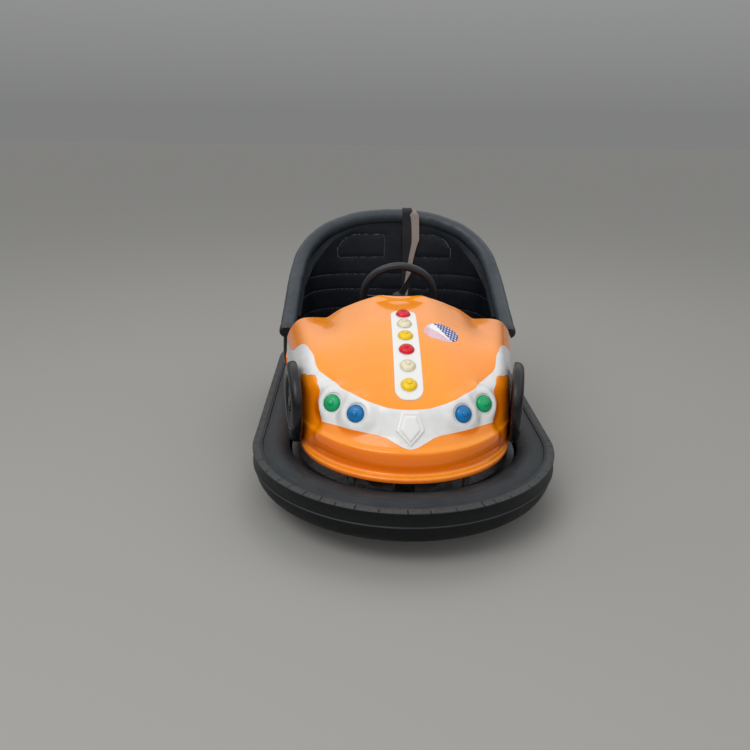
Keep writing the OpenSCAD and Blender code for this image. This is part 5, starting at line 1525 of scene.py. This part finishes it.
c, s = math.cos(FLARE), math.sin(FLARE)
front_y, rear_y = nose_cy - TRIM_FRONT, tub_rear_y - TRIM_REAR
front_axes = np.array([[0, s, c], [0, c, -s], [-1, 0, 0]])
front_at = np.array([side_x(front_y) + TRIM_GAP * c, front_y - TRIM_GAP * s, trim_z])
low_x, high_x = tub_side(rear_y, trim_z - TRIM_R / 2), tub_side(rear_y, trim_z + TRIM_R / 2)
tip = math.pi / 2 - math.atan2(low_x - high_x, TRIM_R)
rear_axes = turning(1, tip)
rear_at = np.array([(low_x + high_x) / 2 + TRIM_GAP + 2, rear_y, trim_z])
trim_paint = trim_finish("dummy wheel plastic")
for end, at, axes in (("front", front_at, front_axes), ("rear", rear_at, rear_axes)):
    for side, turn_over in (("left", lambda grid: grid), ("right", mirrored)):
        wheel = piece_from_grid(f"dummy_wheel_{end}_{side}", turn_over(stood(dummy, at, axes)),
                                values={"panel": panel}, crease=35)
        fit(wheel, trim_paint, "black_plastic", CHASSIS, f"trim_wheel_{end}_{side}")

# %% [markdown]
# ## Steering wheel
# The grip is a torus with finger grooves pressed into its underside. The hub is a turned cone
# with a smooth cap, and three flat spokes with bevelled edges run from it into the grip.

# %% Make the steering wheel
STEER_R, STEER_GRIP, STEER_Y, STEER_Z, HUB_R = 165, 14, 100, 628, 30
GRIP_SWELL, FINGER_DEEP, FINGERS = 2.5, 1.1, 54
column_tilt, spoke_turn, spoke_lift = np.radians([22, 87, 6])
column_axes = aimed([0, math.cos(column_tilt), math.sin(column_tilt)])
steer_at = np.array([0, STEER_Y, STEER_Z])

a = np.linspace(0, 2 * math.pi, 217)[:, None]
b = np.linspace(0, 2 * math.pi, 29)[None, :]
under = np.clip(-np.sin(b), 0, 1) ** 2
tube = STEER_GRIP + GRIP_SWELL - FINGER_DEEP * under * (0.5 + 0.5 * np.cos(FINGERS * a)) ** 2
ring_r = STEER_R - STEER_GRIP - 2 + tube * np.cos(b)
grip = points(ring_r * np.cos(a), ring_r * np.sin(a), tube * np.sin(b) + 0 * a)

HUB = [[12, -51], [24, -52], [25, -51], [29.4, -12], [30, -9.5], [29, -8], [25, -6.8], [22, -6.4],
       [21, -7.4], [19.6, -7.6], [18.6, -6.2], [12, -5.2], [0, -4.8]]
hub = turned(np.concatenate([[[12, -30]], HUB]), 64)

along = np.linspace(0, 1, 24)[:, None]
EDGE = np.array([[-13.2, 0], [-14, 0.8], [-14, 4.6], [-13.4, 5.7], [-12, 6.4], [-9.5, 6.9],
                 [-8, 6.2], [0, 5.6], [8, 6.2], [9.5, 6.9], [12, 6.4], [13.4, 5.7], [14, 4.6],
                 [14, 0.8], [13.2, 0], [-13.2, 0]])
width = 1 - 0.16 * np.sin(math.pi * along)
length = HUB_R - 8 + (STEER_R - STEER_GRIP - HUB_R + 6) * along
spoke = points(length + 0 * EDGE[None, :, 0], EDGE[None, :, 0] * width,
               EDGE[None, :, 1] - 20 + 0 * along)
spoke = spoke @ turning(1, -spoke_lift).T
spokes = [spoke @ turning(2, spoke_turn + k * 2 * math.pi / 3).T for k in range(3)]
wheel = join_pieces("moulded_steering_wheel", [
    piece_from_grid("part", stood(grid, steer_at, column_axes)) for grid in [grip, hub] + spokes])
fit(wheel, grip_plastic, "black_plastic", STEERING, "steering_wheel")

# %% [markdown]
# ## Lap straps
# Two flat straps hang over the backrest. Each is a thin section carried along its own path, with
# an across direction that may turn on the way. The black one goes over the pad to its anchor on
# the tub's back. The brown one lies over it and crosses to the middle of the bench.

# %% Carry a strap along its path
STRAP = np.array([[-0.5, -0.15], [-0.48, -0.5], [0.48, -0.5], [0.5, -0.15], [0.5, 0.15],
                  [0.48, 0.5], [-0.48, 0.5], [-0.5, 0.15], [-0.5, -0.15]])
BELT_X, BELT_W, BELT_T, ANCHOR_T, ANCHOR_H = 62, 45, 3, 6, 0.86


def strap(name, path, across, width, thick, *nodes, finish=belt_black):
    """A strap along path: across is a direction at each point, and the third one is square."""
    run = path_length(path)
    along = unit(np.gradient(path, axis=0))
    across = unit(across - np.sum(across * along, -1, keepdims=True) * along)
    up = np.cross(along, across)
    section = STRAP[None] * np.stack([width, thick + 0 * width], -1)[:, None]
    grid = path[:, None] + section[..., :1] * across[:, None] + section[..., 1:] * up[:, None]
    round_strap = np.concatenate([[0], np.cumsum(np.hypot(*np.diff(STRAP * [45, 3], axis=0).T))])
    piece = piece_from_grid(name, grid, uv=(run * MM, round_strap * MM))
    return fit(piece, finish, "webbing", CHASSIS, *nodes)


back_length = u_length(BACK_FRONT_Y, tub_half_w - WALL - 5, BACK_REAR_Y, BACK_CORNER_R)


def back_at(x, h):
    """Place of the backrest's padded front at a distance x from the middle and a height h."""
    s = 1 - x / back_length
    return back_point(s, h, BACK_T + 3.5 + 0 * h)


# The black strap, from its anchor over the pad and down the backrest
above, below, anchor = tub_point(np.ones(3), ANCHOR_H + np.array([0.02, -0.02, 0]))
up_back = unit(above - below)
out_back = np.array([0, up_back[2], -up_back[1]])
start = anchor + (ANCHOR_T + 2 * SEAT_GAP + BELT_T / 2) * out_back
top_of_pad = pad_point(np.array(1.0))
over = arc(top_of_pad[1:], PAD_R + 3 + BELT_T / 2, 10, 170, 24)
h = np.linspace(0.9, 0.28, 14)
down = back_at(BELT_X + BELT_W / 2 + 0 * h, h) - [0, 2.0, 0]
line = np.concatenate([start[None, 1:], over, down[:, 1:]])
line = evenly(line, int(path_length(line)[-1] / 12))
path = np.column_stack([np.full(len(line), float(BELT_X)), line])
sideways = np.tile([1.0, 0, 0], (len(path), 1))
strap("black_strap", path, sideways, np.full(len(path), BELT_W - 0.4), BELT_T, "belt")

# The brown strap, whose end is tucked under the pad's crest, PAD_RUN being the pad's length to
# one side: [height share, x, width, lean of its across direction]
PAD_RUN = 1180
BROWN = [[0.90, 90, 41, 0.30], [0.85, 83, 37, 0.32], [0.70, 68, 33, 0.35], [0.55, 58, 29, 0.3],
         [0.36, 51, 27, 0.2], [0.24, 48, 28, 0.1]]
share = np.linspace(0.90, 0.24, 50)
found = curve(1 - share, [[1 - row[0]] + row[1:] for row in BROWN])
lower = back_at(found[:, 0], share) - np.array([0, 5.5, 0])
bend = np.linspace(0, 1, 26)
pad_x = mix(99, 95, bend)
crest = pad_point(1 - pad_x / PAD_RUN)
lifted = PAD_R + mix(2.6, 7.6, ramp(bend, 0.1, 0.7))
over = arc([0, 0], 1, 72, 172, 26)
upper = points(pad_x, crest[:, 1] + lifted * over[:, 0], crest[:, 2] + lifted * over[:, 1])
path = np.concatenate([upper, lower])
found = np.concatenate([np.stack([upper[:, 0], mix(5, 47, ramp(bend, 0.4, 1)), 0.28 * bend], -1),
                        found])
sideways = points(np.cos(found[:, 2]), -np.sin(found[:, 2]), 0 * found[:, 2])
strap("brown_strap", path, sideways, found[:, 1], 2.2, finish=belt_brown)

# %% [markdown]
# ## Finishes of the CAD parts that show
# The steel under the shells, the column, the drive unit and the wheels stay as the CAD model has
# them. A short table gives each its finish.

# %% Paint the CAD parts
FINISHES = {
    "floor_pan": galvanised, "chassis_rails": dark_steel, "body_mounts": wheel_rubber,
    "seat_box": orange_finish, "battery": case_plastic, "belt_anchor": dark_steel,
    "floor_mat": mat_rubber, "pedal": cast_metal, "steering_head": dark_steel,
    "gear_housing": cast_metal, "column_support": dark_steel, "column_tube": dark_steel,
    "steering_shaft": bare_steel, "drive_fork": dark_steel, "drive_motor": cast_metal,
    "drive_wheel_hub": cast_metal, "drive_wheel_tyre": wheel_rubber,
    "rear_brackets": dark_steel, "rear_hub_left": cast_metal, "rear_tyre_left": wheel_rubber,
    "rear_hub_right": cast_metal, "rear_tyre_right": wheel_rubber}
for name, finish in FINISHES.items():
    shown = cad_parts[name]
    for slot_of_object in shown.material_slots:
        slot_of_object.link = "OBJECT"
        slot_of_object.material = finish
    if not shown.material_slots:
        raise ValueError(f"{name} has no material slot")
print("CAD parts painted:", len(FINISHES))

# %% [markdown]
# ## Floor and light
# A plain grey floor runs on to the horizon under an overcast sky. The sky is bright overhead and
# darker towards the horizon, with a bright patch where the sun stands behind the clouds. The
# camera itself sees the floor's own grey there, so that no horizon stands out. Four soft lamps
# help the sky, and none of them shows in reflections.

# %% Floor and lamps
FLOOR_HALF = 30.0


def stage_floor():
    """A large grey floor round the car."""
    mesh = bpy.data.meshes.new("floor")
    r = FLOOR_HALF
    mesh.from_pydata([(-r, -r, 0), (r, -r, 0), (r, r, 0), (-r, r, 0)], [], [(0, 1, 2, 3)])
    floor = bpy.data.objects.new("floor", mesh)
    bpy.context.collection.objects.link(floor)
    material, tree = start_finish("grey floor", Base_Color=rgb(0.31, 0.305, 0.29),
                                  Roughness=0.9, Specular_IOR_Level=0.1)
    mesh.materials.append(material)


def soft_lamp(name, place, aim, size, watts):
    """A square area lamp that points at a place."""
    data = bpy.data.lights.new(name, "AREA")
    data.energy, data.size = watts, size
    lamp = bpy.data.objects.new(name, data)
    way = unit(np.array(aim, float) - np.array(place, float))
    right = unit(np.cross(way, [0, 0, 1.0]))
    stand(lamp, place, way, right, np.cross(right, way))
    lamp.visible_glossy = False


# [name, place, what it looks at, size, watts]
LAMPS = [("key", (-2.2, -2.6, 4.4), (0, 0, 0.4), 2.8, 84),
         ("front_left", (-1.5, -4.6, 1.5), (0, 0, 0.4), 1.8, 24),
         ("front_right", (1.6, -4.6, 1.5), (0, 0, 0.4), 1.8, 24),
         ("top", (0.4, 1.6, 4.6), (0, 0, 0.3), 3.0, 50)]
stage_floor()
for lamp_row in LAMPS:
    soft_lamp(*lamp_row)

world = bpy.data.worlds.new("sky")
bpy.context.scene.world = world
world.use_nodes = True
tree = world.node_tree
tree.nodes.clear()
rays = tree.nodes.new("ShaderNodeLightPath")
direction = node(tree, "TexCoord", {}, out="Generated")
way_up = component(tree, direction, "Z")
overcast = between(tree, way_up, 0.0, 0.8, 0.16, 0.80)
sun_patch = node(tree, "VectorMath", {0: direction, 1: (-0.42, -0.52, 0.745)}, out=1,
                 operation="DOT_PRODUCT")
mirrored_sky = plus(tree, between(tree, way_up, 0.04, 0.6, 0.07, 1.0),
                    between(tree, sun_patch, 0.93, 0.99, 0.0, 2.4))
light = node(tree, "Mix", {0: rays.outputs["Is Glossy Ray"], 2: overcast, 3: mirrored_sky})
backdrop = between(tree, way_up, 0.0, 0.14, 0.215, 0.30)
strength = node(tree, "Mix", {0: rays.outputs["Is Camera Ray"], 2: light, 3: backdrop})
sky = tree.nodes.new("ShaderNodeBackground")
sky.inputs["Color"].default_value = rgb(0.985, 0.99, 1.0)
tree.links.new(strength, sky.inputs["Strength"])
out = tree.nodes.new("ShaderNodeOutputWorld")
tree.links.new(sky.outputs[0], out.inputs["Surface"])
bpy.context.scene.view_settings.view_transform = "Standard"

# %% A helper that rounds the numbers of a box
def plain(box):
    return [[round(float(v), 5) for v in corner] for corner in box]
